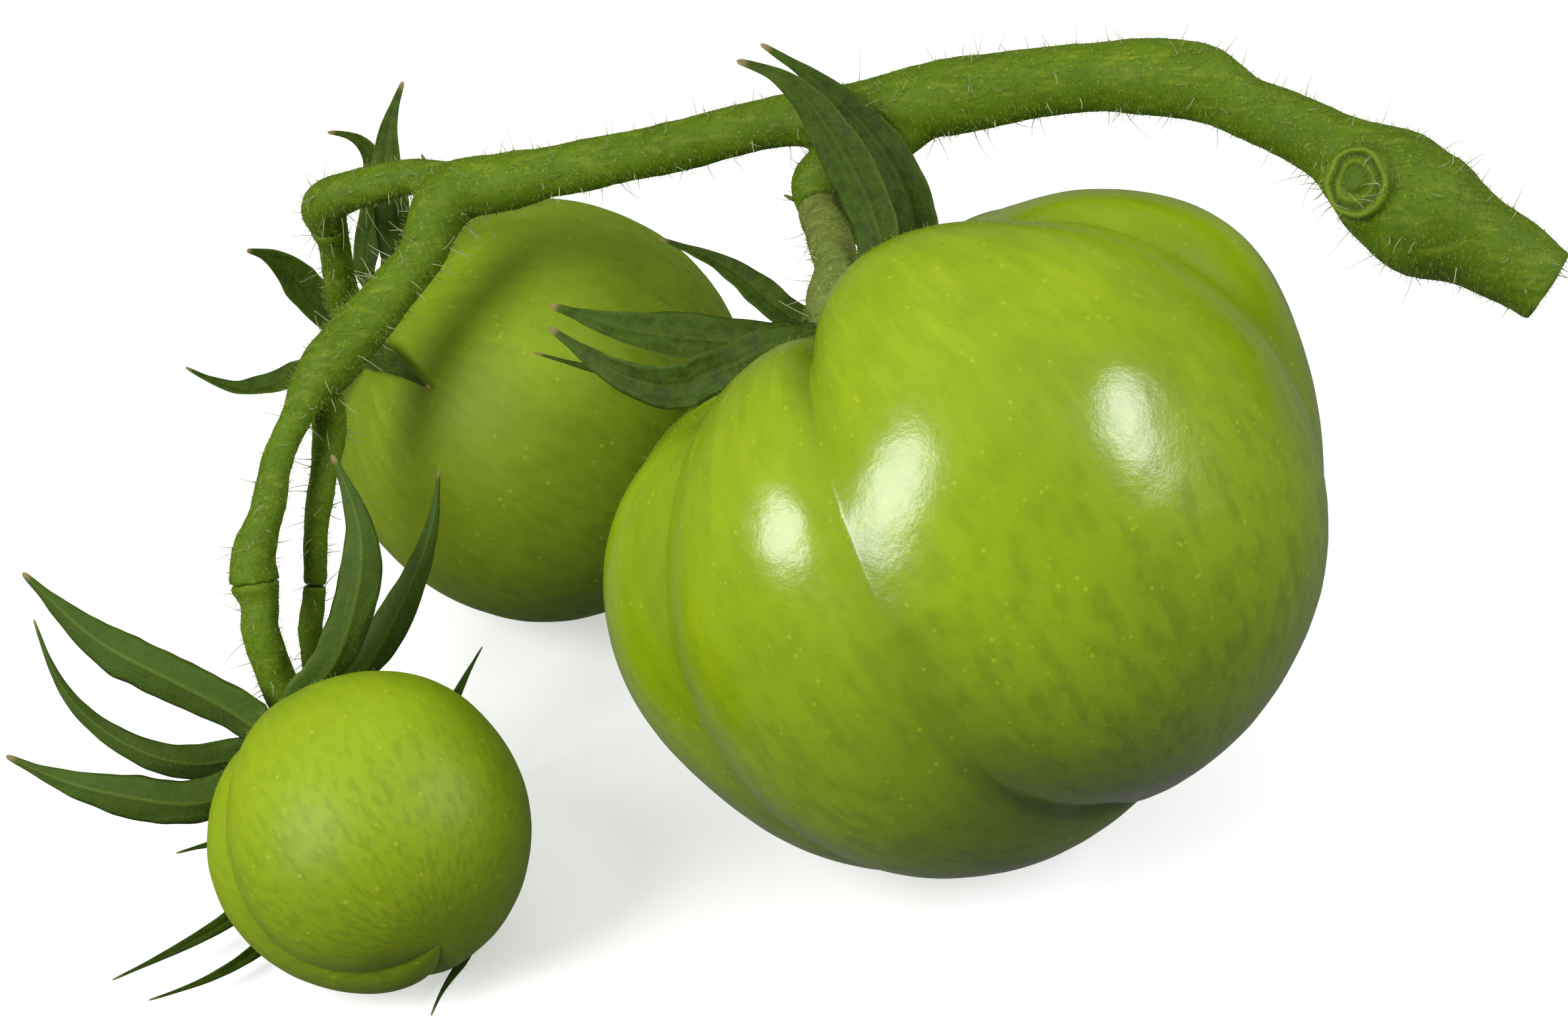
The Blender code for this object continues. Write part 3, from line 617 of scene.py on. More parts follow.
def hairs(name, roots, ways, lengths, radius, bends, segments, head, material):
    """Fine hairs, each a thin three-sided strand that may end in a small round head."""
    ways = ways / np.linalg.norm(ways, axis=1)[:, None]
    side = np.cross(ways, (0.31, 0.52, 0.79))
    side /= np.linalg.norm(side, axis=1)[:, None]
    other = np.cross(ways, side)
    points, heads = [], []
    for step in range(segments + 1):
        t = step / segments
        middle = roots + ways * (lengths * t)[:, None] + bends * (lengths * t * t)[:, None]
        for corner in range(3):
            angle = math.tau * corner / 3
            points.append(middle + (side * math.cos(angle) + other * math.sin(angle)) * radius * (1 - 0.6 * t))
            heads.append(t * 0.3)
    last = segments * 3
    faces = [tuple(reversed(range(3))), *band_faces(segments, 3), (last, last + 1, last + 2)]
    if head:
        first = len(points)
        for way in (side, other, -side, -other, -ways, ways):
            points.append(middle + way * head)
            heads.append(1.0)
        for corner in range(4):
            after = (corner + 1) % 4
            faces.append((first + corner, first + after, first + 5))
            faces.append((first + after, first + corner, first + 4))
    block = np.stack(points, axis=1)
    size = block.shape[1]
    every = [tuple(corner + hair * size for corner in face) for hair in range(len(roots)) for face in faces]
    mesh = bpy.data.meshes.new(name)
    mesh.from_pydata(block.reshape(-1, 3).tolist(), [], every)
    write_fact(mesh, "head", np.tile(heads, len(roots)))
    piece = link_piece(name, mesh, material)
    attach(piece, "root")


def spread(random_source, count, amount):
    """A random vector for each hair."""
    return random_source.normal(0, amount, (count, 3))


def mark_scar(mesh, top, axis):
    """Notes how far each point is from the middle of the leaf scar, and shapes the scar's rings."""
    distances = []
    lifts = {}
    for vertex in mesh.vertices:
        offset = vertex.co - top
        above = offset.dot(axis)
        flat_offset = offset - axis * above
        sideways = flat_offset.dot(TRUSS_AXES.col[1])
        flat = math.hypot(flat_offset.dot(TRUSS_AXES.col[0]) * SCAR_NARROW, sideways)
        flat += SCAR_UNEVEN * noise.noise(vertex.co / SCAR_UNEVEN_SIZE)
        near = abs(above) < SCAR_REACH / 2 and flat < SCAR_REACH and vertex.normal.dot(axis) > 0.2
        distances.append(flat / MM if near else SCAR_FAR)
        if near:
            lift = sum(height * bell(flat / MM, ring, width) for height, ring, width in SCAR_RINGS)
            lifts[vertex.index] = lift * MM
    for index, lift in lifts.items():
        mesh.vertices[index].co += axis * lift
    write_fact(mesh, "scar", distances)


def calyx_of(fruit, receptacle, leaves):
    """Where a fruit's calyx sits: at the stem end, clear of the skin, its leaves round the stalk's end."""
    ring_radius = receptacle * STALK_THICKNESS
    centre = fruit.centre + fruit.axis * fruit.seat(ring_radius)
    return {"centre": centre, "axis": fruit.axis, "axes": fruit.axes, "ring_radius": ring_radius,
            "leaves": leaves}


# ---------------------------------------------------------------- the scene: camera, lights, floor

def build_camera():
    """Looks down at the truss along the front of its plane."""
    data = bpy.data.cameras.new("camera")
    data.sensor_width = 36
    data.lens = CAMERA_LENS
    data.clip_start, data.clip_end = CAMERA_CLIP
    camera = linked("camera", data)
    place = large.centre + truss_vector(*CAMERA_ASIDE, CAMERA_AWAY)
    camera.matrix_world = Matrix.Translation(place) @ TRUSS_AXES.to_4x4()
    bpy.context.scene.camera = camera


def softbox(name, direction, size, power, reflected):
    """An elliptical lamp that faces the large fruit from a direction in the plane of the truss."""
    data = bpy.data.lights.new(name, "AREA")
    data.shape = "ELLIPSE"
    data.size, data.size_y = size
    data.energy = power
    lamp = linked(name, data)
    way = (TRUSS_AXES @ Vector(direction)).normalized()
    turn = way.to_track_quat("Z", "Y").to_matrix().to_4x4()
    lamp.matrix_world = Matrix.Translation(large.centre + way * LAMP_DISTANCE) @ turn
    lamp.visible_glossy = reflected


def build_stage():
    """A pale paper floor just under the fruits, and a dim white world. The floor throws no light back up."""
    bm = bmesh.new()
    bmesh.ops.create_grid(bm, x_segments=1, y_segments=1, size=FLOOR_HALF)
    floor = linked("floor", mesh_from("floor", bm))
    floor.location = (large.centre.x, 0, -FLOOR_DROP)
    floor.data.materials.append(floor_material())
    floor.visible_diffuse = False
    floor.visible_glossy = False
    world = bpy.data.worlds.new("studio")
    bpy.context.scene.world = world
    world.use_nodes = True
    sky = world.node_tree.nodes["Background"]
    sky.inputs["Color"].default_value = (1, 1, 1, 1)
    sky.inputs["Strength"].default_value = WORLD_STRENGTH
    bpy.context.scene.view_settings.view_transform = "Standard"


# ---------------------------------------------------------------- materials

class Nodes:
    """A short way to write a material's node tree."""

    def __init__(self, name):
        self.material = bpy.data.materials.new(name)
        self.material.use_nodes = True
        self.tree = self.material.node_tree
        self.shader = self.tree.nodes["Principled BSDF"]

    def add(self, kind, inputs=None, **settings):
        node = self.tree.nodes.new(kind)
        for key, value in settings.items():
            setattr(node, key, value)
        for key, value in (inputs or {}).items():
            self.put(node.inputs[key], value)
        return node

    def put(self, socket, value):
        if isinstance(value, bpy.types.NodeSocket):
            self.tree.links.new(value, socket)
        elif isinstance(value, (tuple, list)) and len(value) == 3 and socket.type == "RGBA":
            socket.default_value = (*value, 1)
        else:
            socket.default_value = value

    def fact(self, name):
        return self.add("ShaderNodeAttribute", attribute_name=name, attribute_type="GEOMETRY").outputs

    def place(self, stretch=(1, 1, 1), source=None):
        """Object coordinates, or another vector, stretched along each axis."""
        source = source or self.add("ShaderNodeTexCoord").outputs["Object"]
        return self.add("ShaderNodeMapping", {"Vector": source, "Scale": stretch}).outputs["Vector"]

    def noise(self, vector, scale, detail=2.0, roughness=0.5):
        node = self.add("ShaderNodeTexNoise", {"Vector": vector, "Scale": scale, "Detail": detail,
                                               "Roughness": roughness})
        return node.outputs["Fac"]

    def spots(self, vector, scale, radius, softness):
        """Small round spots, 1 at their middle."""
        cells = self.add("ShaderNodeTexVoronoi", {"Vector": vector, "Scale": scale})
        return self.steps(cells.outputs["Distance"], radius, radius * (1 - softness))

    def steps(self, value, start, end, low=0.0, high=1.0):
        inputs = {"Value": value, "From Min": start, "From Max": end, "To Min": low, "To Max": high}
        node = self.add("ShaderNodeMapRange", inputs, interpolation_type="SMOOTHSTEP")
        return node.outputs["Result"]

    def math(self, operation, a, b=None):
        node = self.add("ShaderNodeMath", operation=operation)
        self.put(node.inputs[0], a)
        if b is not None:
            self.put(node.inputs[1], b)
        return node.outputs["Value"]

    def mix(self, share, a, b):
        node = self.add("ShaderNodeMix", data_type="RGBA")
        self.put(node.inputs["Factor"], share)
        self.put(node.inputs[6], a)
        self.put(node.inputs[7], b)
        return node.outputs[2]

    def tint(self, colour, towards, share, strength):
        """Takes a colour part of the way towards another."""
        return self.mix(self.math("MULTIPLY", share, strength), colour, towards)

    def bump(self, height, distance, strength=1.0):
        node = self.add("ShaderNodeBump", {"Height": height, "Distance": distance, "Strength": strength})
        self.put(self.shader.inputs["Normal"], node.outputs["Normal"])

    def set(self, **sockets):
        for key, value in sockets.items():
            self.put(self.shader.inputs[key.replace("_", " ")], value)
        return self.material


def skin_material(name, bright, deep, pale, gloss, shine):
    """Tomato skin: pale near the stem and streaked below it, mottled deeper green, with fine pale dots. Painted
    shade darkens it along the creases and towards the blossom end.
    """
    n = Nodes(name)
    streak = n.fact("streak")["Vector"]
    stemward = n.fact("stemward")["Fac"]
    crease = n.fact("crease")["Fac"]
    body = n.noise(n.place(), 45, 2.0)
    mottle = n.noise(n.place((17, 17, 10), streak), 1.0, 3.0, 0.55)
    streaks = n.noise(n.place((9, 9, 2.2), streak), 1.0, 3.0, 0.6)
    fine_streaks = n.noise(n.place((26, 26, 3.0), streak), 1.0, 2.0, 0.6)
    # Rises from the stem end towards the blossom end: the mottle grows denser there, and the skin is darkened
    # there as painted shade.
    low = n.steps(stemward, 0.45, -0.65)
    patchy = n.math("ADD", n.math("MULTIPLY", low, 0.34), 0.16)
    patches = n.math("MULTIPLY", n.steps(mottle, 0.42, 0.68), patchy)
    colour = n.mix(n.steps(body, 0.35, 0.7, 0.0, 0.35), bright, deep)
    # Painted shade: the colour darkens towards the blossom end.
    colour = n.tint(colour, deep, low, 0.35)
    colour = n.mix(patches, colour, deep)
    top = n.steps(stemward, 0.1, 0.95)
    colour = n.tint(colour, pale, n.steps(streaks, 0.45, 0.75), n.math("MULTIPLY", top, 0.3))
    colour = n.tint(colour, pale, n.steps(fine_streaks, 0.5, 0.8), 0.10)
    # Painted shade: the colour darkens along the creases.
    colour = n.tint(colour, deep, crease, 0.35)
    dots = n.spots(n.place(), 800, 0.26, 0.6)
    few = n.steps(n.noise(n.place(), 400, 1.0), 0.5, 0.65)
    colour = n.tint(colour, pale, n.math("MULTIPLY", dots, few), 0.5)
    rough = n.math("ADD", n.math("MULTIPLY", n.noise(n.place(), 700, 3.0, 0.6), 0.10), gloss)
    ripple = n.noise(n.place(), 620, 4.0, 0.7)
    n.bump(ripple, 0.00010, 0.5)
    return n.set(Base_Color=colour, Roughness=rough, Specular_IOR_Level=shine, Subsurface_Weight=0.06,
                 Subsurface_Radius=LIGHT_DEPTHS, Subsurface_Scale=0.003)


def stalk_material(name, green, shade, yellow, speckles):
    """A matte stalk, mottled, with long faint streaks and yellowish dots of glandular hairs."""
    n = Nodes(name)
    mottle = n.noise(n.place(), 160, 5.0, 0.72)
    grain = n.noise(n.place(), 1500, 3.0, 0.65)
    streaks = n.noise(n.place((0.25, 1, 1)), 900, 2.0, 0.6)
    colour = n.mix(n.steps(mottle, 0.35, 0.7, 0.0, 0.7), green, shade)
    colour = n.mix(n.steps(grain, 0.5, 0.68, 0.0, 0.6), colour, shade)
    colour = n.tint(colour, yellow, n.steps(streaks, 0.5, 0.75), 0.3)
    dots = n.spots(n.place(), 2000, 0.34, 0.5)
    few = n.steps(n.noise(n.place(), 900, 1.0), 0.45, 0.6)
    colour = n.tint(colour, yellow, n.math("MULTIPLY", dots, few), speckles)
    scar = n.fact("scar")["Fac"]
    rim = n.math("MULTIPLY", n.steps(scar, 3.0, 3.35), n.steps(scar, 3.8, 3.45))
    colour = n.tint(colour, yellow, rim, 0.4)
    inner = n.math("MULTIPLY", n.steps(scar, 1.7, 1.95), n.steps(scar, 2.5, 2.1))
    colour = n.tint(colour, yellow, inner, 0.2)
    core = n.steps(scar, 1.7, 1.3)
    colour = n.tint(colour, shade, core, 0.7)
    # Painted shade: a dark ring in the scar's groove, between its pale rings.
    ring = n.math("MULTIPLY", n.steps(scar, 2.4, 2.65), n.steps(scar, 3.0, 2.75))
    colour = n.tint(colour, (0.03, 0.055, 0.008), ring, 0.6)
    n.bump(n.noise(n.place(), 1800, 4.0, 0.6), 0.00012, 0.8)
    return n.set(Base_Color=colour, Roughness=0.60, Specular_IOR_Level=0.16, Subsurface_Weight=0.05,
                 Subsurface_Radius=LIGHT_DEPTHS, Subsurface_Scale=0.002)


def leaf_material(name, green, shade, pale, under):
    """A velvety calyx leaf: veined, lighter below and along the midrib, with a painted highlight along its
    edges, tan at the tip.
    """
    n = Nodes(name)
    along = n.fact("along")["Fac"]
    aside = n.fact("aside")["Fac"]
    below = n.fact("below")["Fac"]
    mottle = n.noise(n.place(), 620, 4.0, 0.7)
    colour = n.mix(n.steps(mottle, 0.38, 0.66), green, shade)
    colour = n.tint(colour, under, below, 0.6)
    lines = n.add("ShaderNodeCombineXYZ", {"X": n.math("MULTIPLY", aside, 7.0),
                                           "Y": n.math("MULTIPLY", along, 3.0)})
    veins = n.noise(lines.outputs["Vector"], 1.0, 2.0, 0.5)
    colour = n.tint(colour, pale, n.steps(veins, 0.52, 0.7), 0.10)
    width = n.math("ABSOLUTE", aside)
    rib = n.steps(width, 0.13, 0.02)
    paler = n.math("ADD", n.math("MULTIPLY", below, 0.45), 0.15)
    colour = n.tint(colour, pale, rib, paler)
    # Painted highlight: the colour pales towards the leaf's edges.
    edge = n.steps(width, 0.88, 1.0)
    colour = n.tint(colour, pale, edge, 0.35)
    tip = n.steps(along, 0.955, 0.985)
    colour = n.tint(colour, TIP_TAN, tip, 0.9)
    height = n.math("ADD", n.noise(n.place(), 2400, 3.0, 0.6), n.math("MULTIPLY", veins, 0.6))
    n.bump(height, 0.00012, 0.8)
    return n.set(Base_Color=colour, Roughness=0.55, Specular_IOR_Level=0.14, Subsurface_Weight=0.04,
                 Subsurface_Radius=LIGHT_DEPTHS, Subsurface_Scale=0.0015)


def hair_material(name, colour, tip):
    """A fine hair, from its own colour to that of its head."""
    n = Nodes(name)
    shade = n.noise(n.place(), 300, 1.0)
    share = n.math("ADD", n.math("MULTIPLY", shade, 0.3), n.math("MULTIPLY", n.fact("head")["Fac"], 0.7))
    return n.set(Base_Color=n.mix(share, colour, tip), Roughness=0.5, Specular_IOR_Level=0.4)


def floor_material():
    """White paper that glows faintly of itself."""
    n = Nodes("floor_paper")
    grain = n.noise(n.place(), 60, 2.0)
    return n.set(Base_Color=n.mix(grain, (0.90, 0.90, 0.90), (0.93, 0.93, 0.93)), Roughness=0.9,
                 Specular_IOR_Level=0.1, Emission_Color=(1, 1, 1, 1), Emission_Strength=FLOOR_GLOW)


# ---------------------------------------------------------------- pieces

def finish_piece(piece, node):
    """Hands a piece over: it stands for a node and moves with the truss."""
    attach(piece, "root")
    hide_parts(node)
    return piece


def link_piece(name, mesh, material):
    """A smooth object of one material."""
    mesh.shade_smooth()
    mesh.materials.append(material)
    return linked(name, mesh)


def baked(piece):
    """Replaces a piece's mesh by what its modifiers make of it."""
    graph = bpy.context.evaluated_depsgraph_get()
    mesh = bpy.data.meshes.new_from_object(piece.evaluated_get(graph))
    piece.modifiers.clear()
    old, piece.data = piece.data, mesh
    bpy.data.meshes.remove(old)
    mesh.name = piece.name
    return piece


def grown_together(name, tubes, material):
    """One skin over several overlapping solids, with soft joins and a slightly uneven surface."""
    whole = bmesh.new()
    for tube in tubes:
        part = mesh_from("part", tube)
        whole.from_mesh(part)
        bpy.data.meshes.remove(part)
    bmesh.ops.recalc_face_normals(whole, faces=whole.faces)
    piece = link_piece(name, mesh_from(name, whole), material)
    remesh = piece.modifiers.new("skin", "REMESH")
    remesh.mode = "VOXEL"
    remesh.voxel_size = STALK_VOXEL
    smooth = piece.modifiers.new("soften", "SMOOTH")
    smooth.factor, smooth.iterations = 0.5, STALK_SMOOTHING
    baked(piece)
    count = len(piece.data.vertices)
    places, normals = np.empty(count * 3), np.empty(count * 3)
    piece.data.vertices.foreach_get("co", places)
    piece.data.vertices.foreach_get("normal", normals)
    places = places.reshape(-1, 3)
    lifts = [noise.noise(Vector(place) / STALK_SWELL_SIZE) * STALK_SWELL
             + noise.noise(Vector(place) / STALK_RIPPLE_SIZE) * STALK_RIPPLE for place in places]
    places = places + normals.reshape(-1, 3) * np.array(lifts)[:, None]
    piece.data.vertices.foreach_set("co", places.ravel())
    piece.data.update()
    piece.data.shade_smooth()
    if not piece.data.materials:
        piece.data.materials.append(material)
    return piece


# ---------------------------------------------------------------- the truss

def beside(fruit, *rows):
    """Stations of a stalk by a fruit, from turn, lift, height and radius, in degrees and millimetres."""
    return [(fruit.around(*place), radius * MM) for *place, radius in rows]


large = Fruit(
    radius=LARGE_RADIUS,
    half_height=LARGE_HALF_HEIGHT,
    squareness=2.35,
    stem_dimple=(10 * MM, 22),
    blossom_dimple=(0, 20),
    axis=(123, 6),
    splay=20,
    waist=0.35,
    lobes=(
        (-69, 3.0, -1, 0),
        (-21, 4.5, 2.5, 0),
        (80, 3.0, -3.5, 3.6),
        (122, 3.0, -3, 1),
        (164, 3.0, -4, 0),
        (208, 3.0, -4, 0),
        (250, 3.6, -4, 1.4),
    ),
    rings=24,
    steps=8,
)
middle = Fruit(
    radius=MIDDLE_RADIUS,
    half_height=MIDDLE_HALF_HEIGHT,
    squareness=2.15,
    stem_dimple=(2 * MM, 20),
    blossom_dimple=(0.5 * MM, 20),
    axis=(153, 18),
    splay=0,
    waist=0.35,
    lobes=((-120, 0, 0, 0), (0, 0, 0, 0), (120, 0, 0, 0)),
    rings=16,
    steps=9,
)
small = Fruit(
    radius=SMALL_RADIUS,
    half_height=SMALL_HALF_HEIGHT,
    squareness=2.15,
    stem_dimple=(1.5 * MM, 20),
    blossom_dimple=(0.4 * MM, 20),
    axis=(125, -31),
    splay=40,
    waist=1,
    lobes=((-63, 1.3, 0, 0), (40, 0, 0, 0), (130, 0, 0, 0), (-130, 0.8, 0, 0.6)),
    rings=14,
    steps=6,
)
middle.lie_beside(large, bearing=141, gap=MIDDLE_GAP)
small.lie_beside(large, bearing=200.5, gap=SMALL_SPACE)

large_calyx = calyx_of(large, LARGE_RECEPTACLE, 7)
middle_calyx = calyx_of(middle, MIDDLE_RECEPTACLE, 6)
small_calyx = calyx_of(small, SMALL_RECEPTACLE, 5)

# The main stalk, from its cut end over the large fruit to the knuckle above the small one.
main = Stalk([
    *beside(large,
            (23, 0, 27.8, 4.2), (29, 0, 23.7, 5.0), (35, 0, 20, 6.9), (39, 0, 19, 6.6),
            (48, -1, 17, 3.7), (57, -2, 15.2, 3.3), (64, -3, 14.8, 4.3), (76, -5, 11.5, 3.7),
            (93, -6, 8, 4.1), (107, -7, 8.2, 3.5), (115, -8, 10.3, 2.8), (129, -9, 14.8, 2.75)),
    *beside(middle,
            (86, 49, 15, 2.8), (97, 49, 13.7, 3.2), (111, 48, 13.2, 3.4), (126, 55, 11.9, 2.6),
            (141, 57, 12.3, 2.7), (156, 57, 13.6, 3.0), (167, 56, 15.3, 3.2), (177, 54, 17.2, 2.2)),
    *beside(small,
            (101, -12, 28.5, 1.7), (105, -12, 24.3, 1.8), (109, -12, 19.1, 1.9), (114, -13, 15.6, 2.4),
            (116, -15, 13.2, 2.8), (117, -16, 11, 2.1), (120, -17, 8.5, 2.1)),
    (small_calyx["centre"] + small.axis * 3.5 * MM, 2.2 * MM),
    (small_calyx["centre"], SMALL_RECEPTACLE),
])
SMALL_KNUCKLE = 24

# The short branch that turns back down to the middle fruit.
middle_branch = Stalk([
    *beside(middle,
            (106, 48, 13.4, 2.4), (117, 42, 14.2, 2.0), (129, 37, 14.8, 2.1), (135, 33, 14.6, 2.4),
            (137, 30, 13.0, 2.6), (138.5, 29, 11.2, 2.2), (141, 27, 8.6, 1.8)),
    (middle_calyx["centre"] + middle.axis * 4 * MM, 2.0 * MM),
    (middle_calyx["centre"], MIDDLE_RECEPTACLE),
])
MIDDLE_KNUCKLE = 5

# The hooked branch to the large fruit.
large_branch = Stalk([
    *beside(large,
            (96, -6, 6.5, 2.6), (103, -7, 4.0, 2.7), (110, -9, 3.8, 2.8), (114, -10, 2.6, 2.9),
            (115, -9, 0.2, 2.6), (116, -4, -3.6, 2.5), (117.5, 1.5, -7.4, 2.4)),
    (large_calyx["centre"] + large.axis * 2.5 * MM, 2.4 * MM),
    (large_calyx["centre"], LARGE_RECEPTACLE),
])
LARGE_KNUCKLE = 4

# The thin branch to the spent flower, which hangs low behind the small fruit.
spent_branch = Stalk([
    *beside(middle,
            (173, 55, 15.6, 1.9)),
    *beside(small,
            (97, -19, 28.8, 1.9), (99, -21, 23.5, 1.55), (102, -24, 18.5, 1.4), (105, -30, 13.9, 1.35),
            (110, -37, 10.4, 1.35), (116, -51, 6.8, 1.3), (117, -68, 4.6, 1.2)),
    (small.around(115, -80, 3.2), SPENT_RECEPTACLE),
])
SPENT_KNUCKLE = 4

# The round scar where a leaf stood, on the front of the swelling.
scar_place, _, scar_stem = main.at((main.marks[3] + main.marks[4] * 0.25) / 1.25)
scar_axis = truss_direction(190, 62)
scar = Stalk([
    (scar_place + scar_axis * scar_stem * SCAR_SUNK, SCAR_RADIUS * SCAR_FLARE),
    (scar_place + scar_axis * (scar_stem * SCAR_SEAT + SCAR_HEIGHT), SCAR_RADIUS),
])

# ---------------------------------------------------------------- the fruits

BRIGHT = skin_material("bright_tomato_skin",
                       (0.30, 0.43, 0.005), (0.12, 0.20, 0.005), (0.48, 0.58, 0.02), 0.17, 0.65)
DULL = skin_material("dull_tomato_skin",
                     (0.235, 0.34, 0.010), (0.10, 0.165, 0.009), (0.38, 0.48, 0.03), 0.52, 0.22)
STALK = stalk_material("green_stalk", (0.105, 0.19, 0.006), (0.065, 0.125, 0.005), (0.28, 0.34, 0.03), 0.5)
PEDICEL = stalk_material("pale_stalk", (0.15, 0.19, 0.04), (0.10, 0.14, 0.02), (0.34, 0.38, 0.07), 0.6)
LEAF = leaf_material("calyx_leaf", (0.050, 0.094, 0.006), (0.030, 0.060, 0.005), (0.12, 0.19, 0.02),
                     (0.07, 0.125, 0.018))
VELVET = skin_material("velvety_tomato_skin",
                       (0.30, 0.42, 0.006), (0.14, 0.22, 0.006), (0.46, 0.56, 0.03), 0.46, 0.3)
HAIR = hair_material("stalk_hair", (0.24, 0.31, 0.07), (0.46, 0.45, 0.10))
LONG_HAIR = hair_material("long_stalk_hair", (0.42, 0.46, 0.25), (0.50, 0.52, 0.33))
LEAF_HAIR = hair_material("leaf_hair", (0.16, 0.24, 0.07), (0.22, 0.30, 0.10))
SKIN_HAIR = hair_material("skin_hair", (0.42, 0.50, 0.12), (0.50, 0.56, 0.20))

fruits = (large, middle, small)
skins = []
for fruit, node, slot, material in (
    (large, "large_tomato", "bright_tomato_skin", BRIGHT),
    (middle, "middle_tomato", "dull_tomato_skin", DULL),
    (small, "small_tomato", "bright_tomato_skin", VELVET),
):
    skin = link_piece(node + "_fine", fruit.fine_mesh(node + "_fine", SKIN_FINER), material)
    outward_facing(skin.data)
    skin.data.shade_smooth()
    skins.append(finish_piece(skin, node))

# ---------------------------------------------------------------- the stalks

def fine_tube(stalk, first=None, last=None):
    """A tube with enough rings and sides to look round."""
    return stalk.tube(first=first, last=last, spacing=STALK_FINE_SPACING, sides=STALK_FINE_SIDES)


# Each stalk is part of the stem up to its knuckle, and a pedicel beyond it.
BRANCHES = (
    (main, SMALL_KNUCKLE, "small_pedicel", STALK),
    (middle_branch, MIDDLE_KNUCKLE, "middle_pedicel", STALK),
    (large_branch, LARGE_KNUCKLE, "large_pedicel", PEDICEL),
    (spent_branch, SPENT_KNUCKLE, "spent_flower_pedicel", STALK),
)
stem_tubes = [fine_tube(stalk, last=stalk.marks[knuckle]) for stalk, knuckle, _, _ in BRANCHES]
stem = grown_together("truss_stem_fine", stem_tubes + [fine_tube(scar)], STALK)
mark_scar(stem.data, scar_place + scar_axis * (scar_stem * SCAR_SEAT + SCAR_HEIGHT), scar_axis)
finish_piece(stem, "truss_stem")
pedicels = []
for stalk, knuckle, node, material in BRANCHES:
    pedicel = grown_together(node + "_fine", [fine_tube(stalk, first=stalk.marks[knuckle])], material)
    mark_scar(pedicel.data, Vector((0, 0, 1)), Vector((0, 0, 1)))
    pedicels.append(finish_piece(pedicel, node))

# Leaves of each calyx: root azimuth in degrees, width, the side shown (right, up, front), and the way points.
LARGE_LEAVES = (
    (28, 5.8, (-1, 0.5, 2),
     ((5.2, 5.2, 2.2), (3.2, 13, 0.8), (-1, 20.5, 0.5), (-5.5, 26.5, 0.5), (-11, 28, 0))),
    (80, 5.8, (1, 0.5, 2), ((8.5, 7, -5), (7.3, 13.8, -4.3), (3.8, 20, -3), (-3, 26.5, -3), (-8.5, 30, -3))),
    (-23, 5.2, (0, -0.4, 2), ((-10, -3.2, 0.8), (-16, -7, -0.5), (-23, -5.5, -1.5), (-31, 0, -4.5))),
    (-75, 6.0, (0, 1, 2), ((-7, -1.8, -2.4), (-12.5, -1.6, -4.4), (-23, -0.3, -5.3), (-31, 2.4, -7.5))),
    (-126, 2.0, (0, 1, 2), ((-6, -3.5, -7.5), (-14, -5.5, -13), (-24, -5, -13.5), (-33, -2.5, -12.5))),
    (-178, 4.0, (0, 1, 2), ((-2, -1.2, -9.8), (-7.5, 3, -15.5), (-12, 7, -18.5), (-19.5, 10, -19.5))),
    (130, 3.5, (0, 1, 2), ((5.8, 1.8, -9), (5, 8, -16), (0, 12, -22), (-6, 15, -25))),
)
MIDDLE_LEAVES = (
    (140, 3.6, (0, 0, 1), ((-2, 6, -2), (-0.8, 11, -1), (0, 18, 2), (-2, 21.5, 3), (-5.5, 21.5, 4))),
    (20, 4.4, (0, 0, 1), ((2.5, 6, 4.5), (1.5, 14.5, 5), (1, 21, 6), (3, 27, 6))),
    (-160, 4.6, (0, 0, 1), ((-7, 3, -3), (-10.5, 7, -0.5), (-12.5, 8.3, 1.5), (-14.5, 8.5, 3))),
    (-100, 3.4, (0, 1, 1), ((-6, -3.5, 5), (-12, -7, 6), (-16, -7, 6), (-21, -4.5, 6))),
    (-40, 3.0, (0, 0, 1), ((2, -4, 12), (6.5, -7, 15))),
    (80, 3.0, (0, 0, 1), ((6.5, 5, -4), (7.5, 12, -5), (4.5, 19.5, -3))),
)
SMALL_LEAVES = (
    (-52, 5.4, (0, 0, -1), ((-5.5, 1, 2), (-10.5, 3.5, 3), (-16.5, 6.5, 4), (-21.5, 9, 4), (-29.5, 16.5, 4))),
    (170, 2.6, (0, 0, -1),
     ((-8, -3.5, -6), (-12.5, -4.7, -3), (-17.5, -3, -2), (-25.5, 2.5, -2), (-29, 11.5, -2))),
    (-124, 5.2, (0, 0, -1), ((-10, -8.5, 0), (-15, -8, 1), (-20.5, -7, 2), (-25, -6, 2), (-31.5, -3, 2))),
    (20, 5.0, (0, 0, -1), ((2, 4, 3), (5.5, 11.5, 6), (7, 18.5, 8), (6.5, 22.5, 8), (3.5, 29, 7))),
    (92, 2.8, (0, 0, -1), ((6.5, 6, -1), (10.5, 13, 0), (14, 21.5, 1), (14.5, 27.5, 1))),
)
leaf_pieces = []
for name, fruit, calyx, leaves in (
    ("large", large, large_calyx, LARGE_LEAVES),
    ("middle", middle, middle_calyx, MIDDLE_LEAVES),
    ("small", small, small_calyx, SMALL_LEAVES),
):
    for number, (root, width, face, way) in enumerate(leaves, 1):
        leaf_pieces.append(calyx_leaf(f"{name}_calyx_leaf_{number}", fruit, calyx, root, width, face, way))

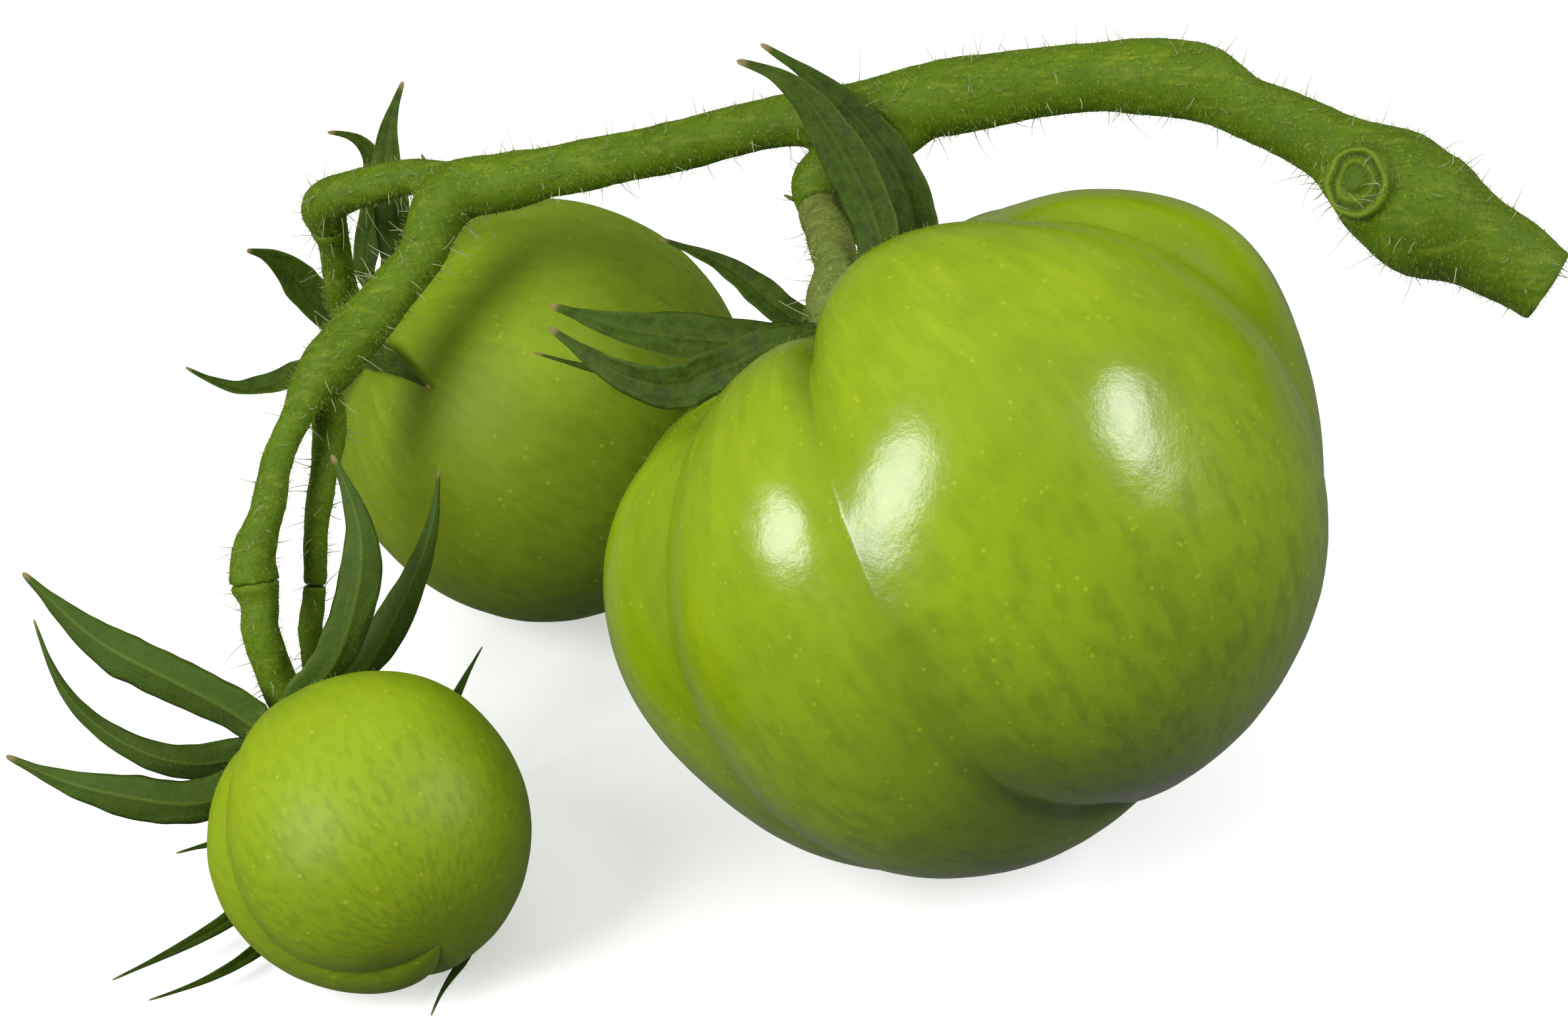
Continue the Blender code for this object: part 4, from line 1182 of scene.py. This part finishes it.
# The spent flower: a tiny ovary and its own leaves.
flower_end, flower_direction, _ = spent_branch.at(spent_branch.marks[-1])
flower_side = flower_direction.orthogonal().normalized()
spent_calyx = {
    "centre": flower_end,
    "axis": -flower_direction,
    "axes": Matrix((flower_side, (-flower_direction).cross(flower_side), -flower_direction)).transposed(),
    "ring_radius": SPENT_RECEPTACLE * STALK_THICKNESS,
    "leaves": 5,
}
SPENT_LEAVES = (
    (2, 2.0, (0, 0, 1), ((-8, -7, 5), (-12.5, -12, 10.5), (-19.5, -16, 14.5), (-26, -19, 17))),
    (74, 2.0, (0, 0, 1), ((-4.5, -9.5, 4.5), (-10, -15.5, 12.5), (-15.5, -19, 17), (-22, -21, 19))),
    (-70, 1.8, (0, 0, 1), ((-6, -1.5, 0), (-10.5, -4, 6), (-16.5, -5, 8), (-20, -6, 9))),
    (146, 1.8, (0, 0, 1), ((7, -4, 1), (12, -12, 8), (9, -19, 17), (8, -22.5, 21))),
    (-142, 1.6, (0, 0, 1), ((4.5, 4, -3), (7.5, 6.5, -1.5), (10.5, 12.5, 0.5), (12.5, 16, 0.5))),
)
for number, (root, width, face, way) in enumerate(SPENT_LEAVES, 1):
    leaf_pieces.append(calyx_leaf(f"spent_flower_leaf_{number}", small, spent_calyx, root, width, face, way))

ovary = bmesh.new()
bmesh.ops.create_icosphere(ovary, subdivisions=4, radius=OVARY_RADIUS)
bmesh.ops.translate(ovary, verts=ovary.verts, vec=flower_end + flower_direction * (OVARY_RADIUS + GAP / 2))
ovary_piece = link_piece("spent_flower_ovary_fine", mesh_from("spent_flower_ovary_fine", ovary), BRIGHT)
finish_piece(ovary_piece, "spent_flower_ovary")


# ---------------------------------------------------------------- hairs

def near_stem(roots):
    """How likely a hair is at each place on the skins: surely at a stem end, never on the lower half."""
    shares = []
    for root in map(Vector, roots):
        offsets = [(root - fruit.centre, fruit) for fruit in fruits]
        upper = min(offset.normalized().dot(fruit.axis) for offset, fruit in offsets
                    if offset.length < fruit.radius * SKIN_HAIR_REACH)
        shares.append(max(0.0, upper))
    return np.array(shares) ** 3


def coat(name, pieces, count, seed, lean, lengths, radius, curl, segments, head, material, likely=None):
    """A coat of hairs over several pieces. Lengths, radius and the head's radius are in millimetres."""
    roots, normals, source = scatter(pieces, count, seed)
    if likely:
        kept = source.random(len(roots)) < likely(roots)
        roots, normals = roots[kept], normals[kept]
    count = len(roots)
    ways = normals + spread(source, count, lean)
    lengths = source.uniform(*lengths, count) * MM
    hairs(name, roots, ways, lengths, radius * MM, spread(source, count, curl), segments, head * MM, material)


# Short glandular hairs all over the stalks, a few long ones, and a fine down on the leaves and round the
# stem ends.
coat("short_stalk_hairs", [stem] + pedicels, SHORT_HAIRS, 1, 0.35, (0.25, 0.75), 0.026, 0.15, 1, 0.045, HAIR)
coat("long_stalk_hairs", [stem] + pedicels, LONG_HAIRS, 2, 0.25, (1.3, 3.6), 0.065, 0.22, 6, 0, LONG_HAIR)
coat("leaf_down", leaf_pieces, LEAF_HAIRS, 3, 0.4, (0.15, 0.55), 0.02, 0.2, 1, 0, LEAF_HAIR)
coat("skin_down", skins, SKIN_HAIRS, 4, 0.3, (0.2, 0.55), 0.018, 0.2, 1, 0, SKIN_HAIR, near_stem)

build_camera()
for lamp in LAMPS:
    softbox(*lamp)
build_stage()
